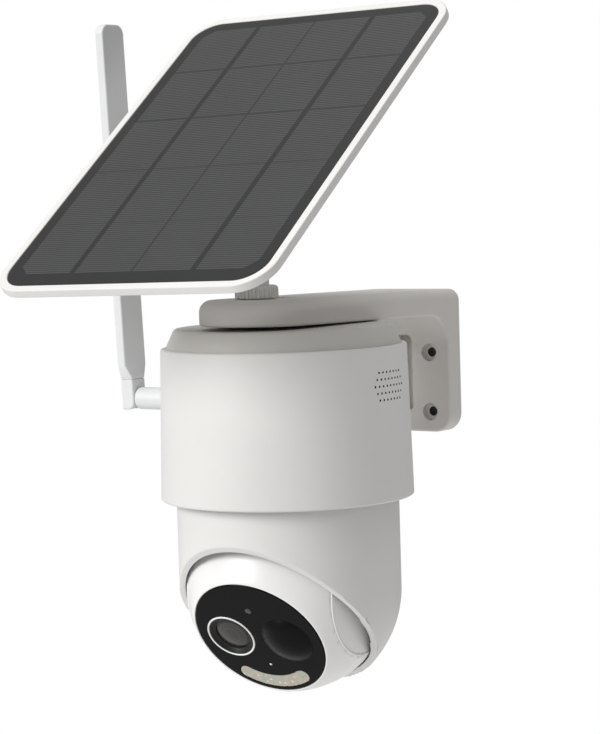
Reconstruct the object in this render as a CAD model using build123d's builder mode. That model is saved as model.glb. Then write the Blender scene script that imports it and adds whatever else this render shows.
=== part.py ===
from build123d import *
import math
import os

os.makedirs("parts", exist_ok=True)

# Outdoor pan and tilt camera on a wall bracket, with a solar panel and a radio antenna.
# Origin: centre of the wall plate's back face. +Z is up, -Y points away from the wall.
# Millimetres.

# bracket
plate_width = 44.8
plate_height = 60.0
plate_thickness = 9.0
plate_corner = 8.0
body_reach = 97.0
stud_reach = 114.0
arm_underside = 19.9
arm_underside_rise = 2.0
arm_rise = 2.0
arm_edge_round = 4.0
inner_corner = 14.0
bolt_spacing = 25.0
bolt_centre_z = -8.9
bolt_hole = 4.0
bolt_counterbore = 7.4
bolt_counterbore_depth = 2.5
recess_width = 10.6
recess_height = 32.0
recess_centre_z = -5.0
recess_depth = 3.5

# camera screw and pad between arm and cap
screw_shank_r = 3.0
screw_head_r = 5.5
pad_r = 12.0
flange_r = 8.2
flange_thickness = 2.0

boss_bottom = 11.2
boss_r = 8.0
insert_r = 5.0

# upper housing
cap_top = 20.2
cap_bottom = 12.8
cap_top_r = 43.5
cap_bottom_r = 46.3
shroud_top = 12.7
shroud_bottom = -47.2
shroud_top_r = 48.6
shroud_bottom_r = 50.0
wall = 2.0
base_top = -31.0
base_thickness = 2.0
base_r = 47.3
boss_circle = 43.6
boss_count = 4

# speaker grille
grille_rows = (7, 8, 9, 8, 7)
grille_hole_r = 0.42
grille_pitch = 2.3
grille_row_pitch = 2.65
grille_z = -2.3
grille_shift = 1.0

# power, pan drive
cell_r = 9.2
cell_length = 65.0
cell_columns = (-7.2, 11.6)
cell_layers = (-17.2, 1.4)
pan_module = 1.0
pan_gear_teeth = 48
pan_pinion_teeth = 12
gear_play = 0.08
hub_r = 8.0
hub_bore_r = 5.0
gear_bottom = -39.0
gear_top = -35.0
hub_top = -29.0
pan_centres = pan_module * (pan_gear_teeth + pan_pinion_teeth) / 2

# hood and ball head
ball_z = -83.7
ball_r = 41.0
hood_r = 44.0
hood_inner_r = 42.0
hood_top = -39.0
hood_cut_angle = 45.0
hood_cut_distance = 15.5
heading = 4.5
tilt_down = 33.4
cheek_x = 32.4
cheek_r = 40.2
cheek_flat_x = 36.0
face_distance = 29.4
face_r = 27.8
face_thickness = 2.4
axle_r = 3.0
running_gap = 0.06
bush_r = 5.0
pivot_boss_r = 7.5
pivot_boss_x = 36.7

# face of the head, in the face plane: x to the right and y up as seen from the front
lens_x = -13.0
lens_ring_r = 11.0
lens_ring_inner_r = 9.9
lens_glass_r = 7.2
dome_x = 12.5
dome_r = 10.8
dome_height = 4.2
window_inner_r = 19.8
window_outer_r = 26.0
window_half_angle = 40.0
sensor_y = 14.4
mic_y = -13.9

# tilt drive
tilt_module = 0.8
tilt_gear_teeth = 30
tilt_pinion_teeth = 10
tilt_gear_x = -31.6
tilt_gear_width = 3.0
tilt_centres = tilt_module * (tilt_gear_teeth + tilt_pinion_teeth) / 2
tilt_motor_r = 9.5

# solar panel
panel_centre = (0, -130.0, 92.7)
panel_slope = 36.4
panel_twist = 1.6
glass_width = 117.5
glass_length = 171.8
glass_corner = 11.0
glass_thickness = 2.0
frame_border = 3.3
frame_thickness = 3.2
frame_lip = 0.3
back_depth = 5.0
back_inset = 7.0
joint_drop = 27.0
joint_ball_r = 9.0
joint_gap = 0.3
stud_r = 5.0
stud_neck_r = 4.0
nut_r = 8.5
nut_height = 5.0
nut_ridges = 40
nut_groove_r = 0.5

# antenna
antenna_z = -10.15
stub_r = 4.55
stub_end = 72.8
pin_x = -76.3
pin_z = -11.3
pin_r = 1.0
knuckle_width = 6.2
knuckle_depth = 8.5
knuckle_bottom = 3.4
fork_gap = 3.3
blade_thickness = 4.2
blade_width = 13.8
blade_top = 154.5
blade_lean = 2.5
blade_shoulder = 14.9

# service bay on the wall side of the shroud
bay_width = 30.0
bay_height = 14.0
bay_z = -8.0
bay_depth_y = 40.0
flap_gap = 0.35
flap_thickness = 1.2


def level(z):
    """Horizontal plane centred on the pan axis."""
    return Plane((0, -body_reach, z))


def arm_underside_at(y):
    """Height of the bracket arm's underside at a distance y from the wall."""
    start = plate_thickness + inner_corner
    return arm_underside + arm_underside_rise * (y - start) / (stud_reach + plate_width / 2 - start)


def save(part, label, turn=0.0):
    """Turn a finished piece about the pan axis, name it and write it."""
    if turn:
        part = part.rotate(Axis((0, -body_reach, 0), (0, 0, 1)), turn)
    part.label = label
    export_step(part, "parts/" + label + ".step")


def gear_points(teeth, module, turn):
    """Outline of an involute spur gear, its first tooth at the angle turn."""
    pressure = math.radians(20)
    pitch_r = teeth * module / 2
    base_circle = pitch_r * math.cos(pressure)
    tip_r = pitch_r + 0.95 * module
    root_r = pitch_r - 1.25 * module
    flank_start = max(base_circle, root_r)
    half = math.pi / (2 * teeth) - gear_play / pitch_r + math.tan(pressure) - pressure
    flank_steps = 4
    flank = [(root_r, half)]
    for step in range(flank_steps + 1):
        r = flank_start + (tip_r - flank_start) * step / flank_steps
        roll = math.acos(min(1.0, base_circle / r))
        flank.append((r, half - math.tan(roll) + roll))
    points = []
    for tooth in range(teeth):
        centre = 2 * math.pi * tooth / teeth + math.radians(turn)
        for r, angle in flank:
            points.append((r * math.cos(centre - angle), r * math.sin(centre - angle)))
        for r, angle in reversed(flank):
            points.append((r * math.cos(centre + angle), r * math.sin(centre + angle)))
    return points


def shroud_radius(z):
    """Outer radius of the shroud at a height."""
    share = (shroud_top - z) / (shroud_top - shroud_bottom)
    return shroud_top_r + (shroud_bottom_r - shroud_top_r) * share


# bracket

arm_end = -(stud_reach + plate_width / 2)
half_height = plate_height / 2
arm_top_at_stud = half_height + arm_rise * stud_reach / -arm_end
flange_bottom = arm_underside_at(stud_reach)
flange_top = flange_bottom + flange_thickness + 0.4
pad_top = arm_underside_at(body_reach - pad_r)

with BuildPart() as wall_bracket:
    with BuildSketch(Plane.YZ):
        with BuildLine():
            Polyline(
                (-plate_thickness, arm_underside - inner_corner),
                (-plate_thickness, -half_height),
                (0, -half_height),
                (0, half_height),
                (arm_end, half_height + arm_rise),
                (arm_end, arm_underside + arm_underside_rise),
                (-plate_thickness - inner_corner, arm_underside),
            )
            RadiusArc(
                (-plate_thickness - inner_corner, arm_underside),
                (-plate_thickness, arm_underside - inner_corner),
                inner_corner,
            )
        make_face()
    extrude(amount=plate_width / 2, both=True)
    with BuildSketch(Plane.XY.offset(-half_height)):
        with Locations((0, -stud_reach)):
            Circle(plate_width / 2)
        with Locations((0, -stud_reach / 2)):
            Rectangle(plate_width, stud_reach)
    extrude(amount=plate_height + 2 * arm_rise, mode=Mode.INTERSECT)
    foot_edges = wall_bracket.edges().filter_by(Axis.Y).group_by(Axis.Z)[0]
    fillet(foot_edges, plate_corner)
    top_edges = wall_bracket.faces().sort_by(Axis.Z)[-1].edges()
    fillet(top_edges.filter_by(lambda edge: edge.center().Y < -1), arm_edge_round)
    # cable recess in the middle of the plate
    with BuildSketch(Plane.XZ.offset(plate_thickness)):
        with Locations((0, recess_centre_z)):
            RectangleRounded(recess_width, recess_height, 1.5)
    extrude(amount=-recess_depth, mode=Mode.SUBTRACT)
    # four counterbored wall bolt holes
    with Locations(Plane.XZ.offset(plate_thickness)):
        with Locations((0, bolt_centre_z)):
            with GridLocations(bolt_spacing, bolt_spacing, 2, 2):
                CounterBoreHole(bolt_hole / 2, bolt_counterbore / 2, bolt_counterbore_depth)
    # countersunk hole for the camera screw
    arm_top_at_body = half_height + arm_rise * body_reach / -arm_end
    with Locations((0, -body_reach, arm_top_at_body + 0.1)):
        CounterSinkHole(screw_shank_r + 0.1, screw_head_r + 0.2)
    # threaded collar for the panel stud and its lock nut
    with BuildSketch(Plane((0, -stud_reach, arm_top_at_stud - 1))):
        Circle(nut_r - 2.3)
    extrude(amount=nut_height - 0.5)
    with BuildSketch(Plane((0, -stud_reach, arm_underside))):
        Circle(stud_r + running_gap)
    extrude(amount=20, mode=Mode.SUBTRACT)
    with BuildSketch(Plane((0, -stud_reach, arm_underside))):
        Circle(flange_r + 0.2)
    extrude(amount=flange_top - arm_underside, mode=Mode.SUBTRACT)
save(wall_bracket.part, "wall_bracket")

with BuildPart() as mounting_screw:
    with BuildSketch(level(boss_bottom + 0.3)):
        Circle(screw_shank_r)
    extrude(amount=arm_top_at_body - boss_bottom - 0.3)
    with BuildSketch(Plane((0, -body_reach, arm_top_at_body - screw_head_r + screw_shank_r))):
        Circle(screw_shank_r)
    with BuildSketch(Plane((0, -body_reach, arm_top_at_body))):
        Circle(screw_head_r)
    loft()
    with BuildSketch(Plane((0, -body_reach, arm_top_at_body))):
        RegularPolygon(2.5, 6)
    extrude(amount=-2.2, mode=Mode.SUBTRACT)
save(mounting_screw.part, "mounting_screw")

with BuildPart() as mounting_pad:
    with BuildSketch(level(cap_top)):
        Circle(pad_r)
        Circle(screw_shank_r + 0.2, mode=Mode.SUBTRACT)
    extrude(amount=pad_top - cap_top)
    with BuildSketch(Plane((0, -stud_reach, cap_top))):
        Circle(8.6)
    extrude(amount=pad_top - cap_top, mode=Mode.SUBTRACT)
save(mounting_pad.part, "mounting_pad")

# upper housing

with BuildPart() as top_cap:
    with BuildSketch(Plane((0, -body_reach, 0), x_dir=(1, 0, 0), z_dir=(0, -1, 0))):
        with BuildLine():
            Polyline(
                (0, cap_top - wall),
                (0, cap_top),
                (cap_top_r - 0.8, cap_top),
                (cap_top_r, cap_top - 0.8),
                (cap_bottom_r, cap_bottom),
                (cap_bottom_r, cap_bottom - 3),
                (44.4, cap_bottom - 3),
                (44.4, cap_bottom),
                (cap_top_r - wall, cap_top - wall),
                close=True,
            )
        make_face()
    revolve(axis=Axis((0, -body_reach, 0), (0, 0, 1)))
    with BuildSketch(level(boss_bottom)):
        Circle(boss_r)
    extrude(amount=cap_top - boss_bottom - 0.5)
    with BuildSketch(level(boss_bottom)):
        Circle(insert_r + 0.05)
    extrude(amount=cap_top - wall - boss_bottom, mode=Mode.SUBTRACT)
    with BuildSketch(level(boss_bottom)):
        Circle(screw_shank_r + 0.1)
    extrude(amount=cap_top, mode=Mode.SUBTRACT)
save(top_cap.part, "top_cap")

with BuildPart() as threaded_insert:
    with BuildSketch(level(boss_bottom + 0.1)):
        Circle(insert_r)
        Circle(screw_shank_r + 0.02, mode=Mode.SUBTRACT)
    extrude(amount=cap_top - wall - boss_bottom - 0.2)
save(threaded_insert.part, "threaded_insert")

with BuildPart() as upper_shroud:
    with BuildSketch(Plane((0, -body_reach, 0), x_dir=(1, 0, 0), z_dir=(0, -1, 0))):
        with BuildLine():
            Polyline(
                (shroud_top_r - wall, shroud_top),
                (shroud_top_r - 0.6, shroud_top),
                (shroud_top_r, shroud_top - 0.6),
                (shroud_bottom_r, shroud_bottom + 1),
                (shroud_bottom_r - 0.9, shroud_bottom),
                (shroud_bottom_r - wall, shroud_bottom),
                close=True,
            )
        make_face()
    revolve(axis=Axis((0, -body_reach, 0), (0, 0, 1)))
    # screw bosses for the base plate
    with BuildSketch(level(base_top)):
        with PolarLocations(boss_circle, boss_count, start_angle=45):
            Circle(3.4)
    extrude(amount=11)
    with BuildSketch(level(base_top)):
        with PolarLocations(boss_circle, boss_count, start_angle=45):
            Circle(1.3)
    extrude(amount=9, mode=Mode.SUBTRACT)
    # speaker grille, antenna hole and service opening
    with BuildSketch(Plane.YZ.offset(shroud_top_r - 6)):
        for row, count in enumerate(grille_rows):
            row_z = grille_z + (2 - row) * grille_row_pitch
            with Locations((-body_reach + grille_shift, row_z)):
                with GridLocations(grille_pitch, 1, count, 1):
                    Circle(grille_hole_r)
    extrude(amount=12, mode=Mode.SUBTRACT)
    with BuildSketch(Plane.YZ.offset(-shroud_top_r - 4)):
        with Locations((-body_reach, antenna_z)):
            Circle(4.7)
    extrude(amount=10, mode=Mode.SUBTRACT)
    with BuildSketch(Plane.XZ.offset(body_reach - 30)):
        with Locations((0, bay_z)):
            RectangleRounded(bay_width, bay_height, 3)
    extrude(amount=-25, mode=Mode.SUBTRACT)
save(upper_shroud.part, "upper_shroud")

with BuildPart() as base_plate:
    with BuildSketch(level(base_top - base_thickness)):
        Circle(base_r)
        Circle(hub_r + running_gap, mode=Mode.SUBTRACT)
        with PolarLocations(boss_circle, boss_count, start_angle=45):
            Circle(1.35, mode=Mode.SUBTRACT)
        with Locations((-pan_centres, 0)):
            Circle(4.2, mode=Mode.SUBTRACT)
    extrude(amount=base_thickness)
    with BuildSketch(level(base_top)):
        Circle(12)
        Circle(hub_r + running_gap, mode=Mode.SUBTRACT)
    extrude(amount=1.8)
save(base_plate.part, "base_plate")

with BuildPart() as base_screws:
    with BuildSketch(level(base_top - base_thickness)):
        with PolarLocations(boss_circle, boss_count, start_angle=45):
            Circle(1.25)
    extrude(amount=10)
    with BuildSketch(level(base_top - base_thickness)):
        with PolarLocations(boss_circle, boss_count, start_angle=45):
            Circle(2.6)
    extrude(amount=-1.6)
save(base_screws.part, "base_screws")

tray_x = (cell_columns[0] + cell_columns[1]) / 2
tray_width = cell_columns[1] - cell_columns[0] + 2 * cell_r + 3.2
tray_floor = cell_layers[0] - cell_r - 1.5
with BuildPart() as battery_tray:
    with BuildSketch(level(tray_floor)):
        with Locations((tray_x, 0)):
            Rectangle(tray_width, cell_length + 3.2)
    extrude(amount=26)
    with BuildSketch(level(tray_floor + 1.4)):
        with Locations((tray_x, 0)):
            Rectangle(tray_width - 2.8, cell_length + 0.6)
    extrude(amount=30, mode=Mode.SUBTRACT)
save(battery_tray.part, "battery_tray")

with BuildPart() as battery_cells:
    for cell_x in cell_columns:
        for cell_z in cell_layers:
            with BuildSketch(Plane.XZ.offset(body_reach - cell_length / 2)):
                with Locations((cell_x, cell_z)):
                    Circle(cell_r)
            extrude(amount=cell_length - 1.2)
            with BuildSketch(Plane.XZ.offset(body_reach + cell_length / 2 - 1.2)):
                with Locations((cell_x, cell_z)):
                    Circle(2.8)
            extrude(amount=1.2)
save(battery_cells.part, "battery_cells")

board_z = 11.6
with BuildPart() as main_board:
    with BuildSketch(level(board_z)):
        Circle(40)
        Circle(8.6, mode=Mode.SUBTRACT)
    extrude(amount=1.6)
    with BuildSketch(level(board_z + 1.6)):
        with Locations((20, 8)):
            Rectangle(14, 14)
        with Locations((-20, 12)):
            Rectangle(10, 12)
        with Locations((-18, -16)):
            Rectangle(12, 9)
        with Locations((16, -18)):
            Rectangle(16, 11)
    extrude(amount=1.6)
save(main_board.part, "main_board")

with BuildPart() as speaker:
    with BuildSketch(Plane((36.5, -body_reach + grille_shift, grille_z), x_dir=(0, 1, 0), z_dir=(1, 0, 0))):
        Circle(9)
    extrude(amount=3.5)
    with BuildSketch(Plane((40, -body_reach + grille_shift, grille_z), x_dir=(0, 1, 0), z_dir=(1, 0, 0))):
        Circle(12.8)
    extrude(amount=4)
    with BuildSketch(Plane((44, -body_reach + grille_shift, grille_z), x_dir=(0, 1, 0), z_dir=(1, 0, 0))):
        Circle(10.5)
    extrude(amount=-2, taper=40, mode=Mode.SUBTRACT)
save(speaker.part, "speaker")

with BuildPart() as pan_motor:
    with BuildSketch(level(base_top)):
        with Locations((-pan_centres, 0)):
            Circle(11.4)
    extrude(amount=18)
    with BuildSketch(level(base_top)):
        with Locations((-pan_centres, 0)):
            Circle(4)
    extrude(amount=-1.5)
    with BuildSketch(level(base_top)):
        with Locations((-pan_centres, 0)):
            Circle(1.5)
    extrude(amount=-(base_top - gear_bottom) + 0.3)
save(pan_motor.part, "pan_motor")

with BuildPart() as pan_pinion:
    with BuildSketch(level(gear_bottom)):
        with Locations((-pan_centres, 0)):
            Polygon(
                *gear_points(pan_pinion_teeth, pan_module, 180 / pan_pinion_teeth - 4 * heading),
                align=None,
            )
            Circle(1.5 + running_gap, mode=Mode.SUBTRACT)
    extrude(amount=gear_top - gear_bottom + 0.4)
save(pan_pinion.part, "pan_pinion")

# service bay

with BuildPart() as service_bezel:
    with BuildSketch(Plane.XZ.offset(body_reach - bay_depth_y)):
        with Locations((0, bay_z)):
            Rectangle(bay_width + 4, bay_height + 3)
    extrude(amount=-3.4)
    with BuildSketch(Plane.XZ.offset(body_reach - bay_depth_y - 1.6)):
        with Locations((0, bay_z)):
            Rectangle(bay_width + 1, bay_height + 0.4)
    extrude(amount=-3, mode=Mode.SUBTRACT)
    with BuildSketch(Plane.XZ.offset(body_reach - bay_depth_y)):
        with Locations((-9.5, bay_z)):
            Circle(2.4)
        with Locations((-2.5, bay_z)):
            Circle(1.2)
        with Locations((7, bay_z)):
            RectangleRounded(9.4, 3.6, 1.6)
    extrude(amount=-1.6, mode=Mode.SUBTRACT)
save(service_bezel.part, "service_bezel")

with BuildPart() as power_button:
    with BuildSketch(Plane.XZ.offset(body_reach - bay_depth_y + 1.5)):
        with Locations((-9.5, bay_z)):
            Circle(2.3)
    extrude(amount=-4.4)
save(power_button.part, "power_button")

with BuildPart() as reset_button:
    with BuildSketch(Plane.XZ.offset(body_reach - bay_depth_y + 1.5)):
        with Locations((-2.5, bay_z)):
            Circle(1.1)
    extrude(amount=-3.6)
save(reset_button.part, "reset_button")

with BuildPart() as usb_port:
    with BuildSketch(Plane.XZ.offset(body_reach - bay_depth_y + 5)):
        with Locations((7, bay_z)):
            RectangleRounded(9.2, 3.4, 1.5)
    extrude(amount=-6.4)
    with BuildSketch(Plane.XZ.offset(body_reach - bay_depth_y - 1.4)):
        with Locations((7, bay_z)):
            RectangleRounded(8.4, 2.6, 1.2)
    extrude(amount=5, mode=Mode.SUBTRACT)
    with BuildSketch(Plane.XZ.offset(body_reach - bay_depth_y + 4)):
        with Locations((7, bay_z)):
            Rectangle(6.4, 0.7)
    extrude(amount=-4)
save(usb_port.part, "usb_port")

flap_outer_r = shroud_radius(bay_z) - 0.1
with BuildPart() as service_flap:
    with BuildSketch(level(bay_z - bay_height / 2 + flap_gap)):
        Circle(flap_outer_r)
        Circle(flap_outer_r - flap_thickness, mode=Mode.SUBTRACT)
    extrude(amount=bay_height - 2 * flap_gap)
    with BuildSketch(Plane.XZ.offset(body_reach - 30)):
        with Locations((0, bay_z)):
            RectangleRounded(bay_width - 2 * flap_gap, bay_height - 2 * flap_gap, 2.7)
    extrude(amount=-25, mode=Mode.INTERSECT)
save(service_flap.part, "service_flap")

# yoke

cut_y = -math.sin(math.radians(hood_cut_angle))
cut_z = -math.cos(math.radians(hood_cut_angle))
hood_cut = Plane(
    (0, -body_reach + cut_y * hood_cut_distance, ball_z + cut_z * hood_cut_distance),
    x_dir=(1, 0, 0),
    z_dir=(0, cut_y, cut_z),
)

with BuildPart() as yoke_hood:
    with BuildSketch(Plane((0, -body_reach, 0), x_dir=(1, 0, 0), z_dir=(0, -1, 0))):
        with BuildLine():
            Polyline(
                (0, hood_top - 2.2),
                (0, hood_top),
                (hood_r - 1, hood_top),
                (hood_r, hood_top - 1),
                (hood_r, ball_z),
            )
            RadiusArc((hood_r, ball_z), (0, ball_z - hood_r), hood_r)
            Line((0, ball_z - hood_r), (0, ball_z - hood_inner_r))
            RadiusArc((0, ball_z - hood_inner_r), (hood_inner_r, ball_z), -hood_inner_r)
            Polyline((hood_inner_r, ball_z), (hood_inner_r, hood_top - 2.2), (0, hood_top - 2.2))
        make_face()
    revolve(axis=Axis((0, -body_reach, 0), (0, 0, 1)))
    split(bisect_by=hood_cut, keep=Keep.BOTTOM)
    # pivot bosses on the tilt axis
    for side in (-1, 1):
        with BuildSketch(Plane((side * pivot_boss_x, -body_reach, ball_z), z_dir=(side, 0, 0))):
            Circle(pivot_boss_r)
        extrude(amount=hood_inner_r - pivot_boss_x)
    with BuildSketch(Plane((pivot_boss_x, -body_reach, ball_z), z_dir=(1, 0, 0))):
        Circle(bush_r)
    extrude(amount=5, mode=Mode.SUBTRACT)
    with BuildSketch(Plane((-pivot_boss_x, -body_reach, ball_z), z_dir=(-1, 0, 0))):
        Circle(axle_r)
    extrude(amount=5, mode=Mode.SUBTRACT)
    # hub bore and gear screws
    with BuildSketch(level(hood_top)):
        Circle(hub_bore_r)
        with PolarLocations(16, 3):
            Circle(1.3)
    extrude(amount=-3, mode=Mode.SUBTRACT)
save(yoke_hood.part, "yoke_hood", heading)

with BuildPart() as pan_gear:
    with BuildSketch(level(gear_bottom)):
        Polygon(*gear_points(pan_gear_teeth, pan_module, 0), align=None)
    extrude(amount=gear_top - gear_bottom)
    with BuildSketch(level(gear_top)):
        Circle(hub_r)
    extrude(amount=hub_top - gear_top)
    with BuildSketch(level(gear_bottom)):
        Circle(hub_bore_r)
    extrude(amount=hub_top - gear_bottom, mode=Mode.SUBTRACT)
    with Locations(level(gear_top)):
        with PolarLocations(16, 3):
            CounterBoreHole(1.3, 2.4, 2)
save(pan_gear.part, "pan_gear", heading)

with BuildPart() as gear_screws:
    with BuildSketch(level(gear_top - 2)):
        with PolarLocations(16, 3):
            Circle(1.25)
    extrude(amount=-4)
    with BuildSketch(level(gear_top - 2)):
        with PolarLocations(16, 3):
            Circle(2.2)
    extrude(amount=1.6)
save(gear_screws.part, "gear_screws", heading)

with BuildPart() as pan_retainer:
    with BuildSketch(level(hub_top)):
        Circle(10.8)
        Circle(hub_bore_r, mode=Mode.SUBTRACT)
    extrude(amount=0.9)
save(pan_retainer.part, "pan_retainer", heading)

with BuildPart() as tilt_bush_right:
    with BuildSketch(Plane((pivot_boss_x + 0.1, -body_reach, ball_z), z_dir=(1, 0, 0))):
        Circle(bush_r - 0.02)
        Circle(axle_r + running_gap, mode=Mode.SUBTRACT)
    extrude(amount=4.6)
save(tilt_bush_right.part, "tilt_bush_right", heading)

tilt_cos = math.cos(math.radians(tilt_down))
tilt_sin = math.sin(math.radians(tilt_down))


def rear_plane(x, distance=0.0):
    """Plane across the tilt axis at x, its own x pointing to the back of the head."""
    origin = (x, -body_reach + tilt_cos * distance, ball_z + tilt_sin * distance)
    return Plane(origin, x_dir=(0, tilt_cos, tilt_sin), z_dir=(1, 0, 0))


with BuildPart() as tilt_gear:
    with BuildSketch(rear_plane(tilt_gear_x)):
        Polygon(*gear_points(tilt_gear_teeth, tilt_module, 0), align=None)
    extrude(amount=tilt_gear_width)
    with BuildSketch(rear_plane(tilt_gear_x)):
        Circle(axle_r - 0.02)
    extrude(amount=-(pivot_boss_x + 4.8 + tilt_gear_x))
save(tilt_gear.part, "tilt_gear", heading)

# head

head = Plane((0, -body_reach, ball_z), x_dir=(1, 0, 0), z_dir=(0, -tilt_cos, -tilt_sin))


def face(distance):
    """Plane parallel to the face at a distance in front of the ball's centre."""
    return head.offset(distance)


def cut_cheeks():
    """Cut the current ball shell flat where the cheek covers sit."""
    split(bisect_by=Plane.YZ.offset(cheek_x), keep=Keep.BOTTOM)
    split(bisect_by=Plane.YZ.offset(-cheek_x), keep=Keep.TOP)


with BuildPart(head) as ball_front_shell:
    Sphere(ball_r)
    Sphere(ball_r - wall, mode=Mode.SUBTRACT)
    split(bisect_by=head, keep=Keep.TOP)
    split(bisect_by=face(face_distance), keep=Keep.BOTTOM)
    with BuildSketch(face(face_distance - face_thickness - 2.2)):
        Circle(29)
        Circle(25.4, mode=Mode.SUBTRACT)
    extrude(amount=2.2)
    with BuildSketch(face(face_distance - face_thickness)):
        Circle(face_r + 0.08)
    extrude(amount=face_thickness, mode=Mode.SUBTRACT)
    cut_cheeks()
save(ball_front_shell.part, "ball_front_shell", heading)

with BuildPart(head) as ball_rear_shell:
    Sphere(ball_r)
    Sphere(ball_r - wall, mode=Mode.SUBTRACT)
    split(bisect_by=head, keep=Keep.BOTTOM)
    cut_cheeks()
save(ball_rear_shell.part, "ball_rear_shell", heading)

for side, side_name in ((-1, "left"), (1, "right")):
    inner_x = cheek_x + 0.05
    bore_r = axle_r if side > 0 else bush_r
    inner_rim = math.sqrt(cheek_r ** 2 - inner_x ** 2)
    outer_rim = math.sqrt(cheek_r ** 2 - cheek_flat_x ** 2)
    middle_x = (inner_x + cheek_flat_x) / 2
    middle_rim = math.sqrt(cheek_r ** 2 - middle_x ** 2)
    with BuildPart() as cheek_cover:
        with BuildSketch(Plane((0, -body_reach, ball_z))):
            with BuildLine():
                Polyline(
                    (side * cheek_flat_x, outer_rim),
                    (side * cheek_flat_x, bore_r),
                    (side * inner_x, bore_r),
                    (side * inner_x, inner_rim),
                )
                ThreePointArc(
                    (side * inner_x, inner_rim),
                    (side * middle_x, middle_rim),
                    (side * cheek_flat_x, outer_rim),
                )
            make_face()
        revolve(axis=Axis((0, -body_reach, ball_z), (1, 0, 0)))
    save(cheek_cover.part, "cheek_cover_" + side_name, heading)

with BuildPart() as tilt_bush_left:
    with BuildSketch(Plane((-cheek_x - 0.2, -body_reach, ball_z), z_dir=(-1, 0, 0))):
        Circle(bush_r - 0.02)
        Circle(axle_r + running_gap, mode=Mode.SUBTRACT)
    extrude(amount=cheek_flat_x - cheek_x - 0.2)
save(tilt_bush_left.part, "tilt_bush_left", heading)

with BuildPart() as tilt_axle_right:
    with BuildSketch(Plane((cheek_x - 2, -body_reach, ball_z), z_dir=(1, 0, 0))):
        Circle(axle_r - 0.02)
    extrude(amount=11)
    with BuildSketch(Plane((cheek_x - 2, -body_reach, ball_z), z_dir=(1, 0, 0))):
        Circle(axle_r + 2.5)
    extrude(amount=1.9)
save(tilt_axle_right.part, "tilt_axle_right", heading)

def face_section(x):
    """Plane through the face axis shifted to x, its own y pointing out of the face."""
    return Plane(head.from_local_coords((x, 0, 0)), x_dir=(1, 0, 0), z_dir=(0, tilt_sin, -tilt_cos))


def face_axis(x):
    """Line out of the face, shifted to x."""
    return Axis(head.from_local_coords((x, 0, 0)), head.z_dir)


def window_band(inner_r, outer_r, half_angle):
    """Curved slot with rounded ends below the face's centre."""
    middle_r = (inner_r + outer_r) / 2
    end_angle = math.degrees(math.asin((outer_r - inner_r) / 2 / middle_r))
    sweep = half_angle - end_angle
    with BuildSketch() as band:
        SlotArc(CenterArc((0, 0), middle_r, -90 - sweep, 2 * sweep), outer_r - inner_r)
    return band.sketch


def cap_arc(radius, base, height):
    """Half of a shallow dome's section, from its rim to its top."""
    sphere_r = (radius ** 2 + height ** 2) / (2 * height)
    half = math.asin(radius / sphere_r) / 2
    middle = (sphere_r * math.sin(half), base + height - sphere_r * (1 - math.cos(half)))
    ThreePointArc((radius, base), middle, (0, base + height))


face_back = face_distance - face_thickness
face_front = face_distance + 0.2

with BuildPart() as face_plate:
    with BuildSketch(face(face_back)):
        Circle(face_r)
        with Locations((lens_x, 0)):
            Circle(lens_ring_r + 0.05, mode=Mode.SUBTRACT)
        with Locations((dome_x, 0)):
            Circle(dome_r - 0.6, mode=Mode.SUBTRACT)
        with Locations((0, sensor_y)):
            Circle(1.3, mode=Mode.SUBTRACT)
        with Locations((0, mic_y)):
            Circle(0.7, mode=Mode.SUBTRACT)
    extrude(amount=face_front - face_back)
    with BuildSketch(face(face_back)):
        add(window_band(window_inner_r, window_outer_r, window_half_angle))
    extrude(amount=face_front - face_back, mode=Mode.SUBTRACT)
save(face_plate.part, "face_plate", heading)

with BuildPart() as lens_ring:
    with BuildSketch(face(face_back)):
        with Locations((lens_x, 0)):
            Circle(lens_ring_r)
            Circle(lens_ring_inner_r, mode=Mode.SUBTRACT)
    extrude(amount=face_front - face_back + 0.3)
save(lens_ring.part, "lens_ring", heading)

barrel_back = 11.9
with BuildPart() as lens_barrel:
    with BuildSketch(face_section(lens_x)):
        with BuildLine():
            Polyline(
                (5.5, barrel_back),
                (lens_ring_inner_r - 0.05, barrel_back),
                (lens_ring_inner_r - 0.05, face_front + 0.2),
                (lens_ring_inner_r - 0.6, face_front + 0.2),
                (lens_glass_r + 0.1, face_front - 1.2),
                (lens_glass_r + 0.1, face_front - 2.6),
                (5.5, face_front - 2.6),
                close=True,
            )
        make_face()
    revolve(axis=face_axis(lens_x))
save(lens_barrel.part, "lens_barrel", heading)

with BuildPart() as lens_glass:
    with BuildSketch(face_section(lens_x)):
        with BuildLine():
            cap_arc(lens_glass_r, face_front - 1.5, 1.1)
            Polyline(
                (0, face_front - 0.4),
                (0, face_front - 2.5),
                (lens_glass_r, face_front - 2.5),
                (lens_glass_r, face_front - 1.5),
            )
        make_face()
    revolve(axis=face_axis(lens_x))
save(lens_glass.part, "lens_glass", heading)

with BuildPart() as image_board:
    with BuildSketch(face(10.2)):
        Rectangle(34, 26)
    extrude(amount=1.6)
    with BuildSketch(face(11.8)):
        with Locations((lens_x, 0)):
            Rectangle(7, 6)
    extrude(amount=1.2)
    with BuildSketch(face(10.2)):
        with Locations((4, 2)):
            Rectangle(12, 12)
    extrude(amount=-1.4)
save(image_board.part, "image_board", heading)

with BuildPart() as motion_dome:
    with BuildSketch(face_section(dome_x)):
        with BuildLine():
            cap_arc(dome_r, face_front + 0.05, dome_height)
            Polyline(
                (dome_r, face_front + 0.05),
                (dome_r - 0.7, face_front + 0.05),
                (dome_r - 0.7, face_back + 0.2),
                (dome_r - 1.6, face_back + 0.2),
                (dome_r - 1.6, face_front),
            )
            cap_arc(dome_r - 1.6, face_front, dome_height - 1.1)
            Line((0, face_front + dome_height - 1.1), (0, face_front + 0.05 + dome_height))
        make_face()
    revolve(axis=face_axis(dome_x))
save(motion_dome.part, "motion_dome", heading)

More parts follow.
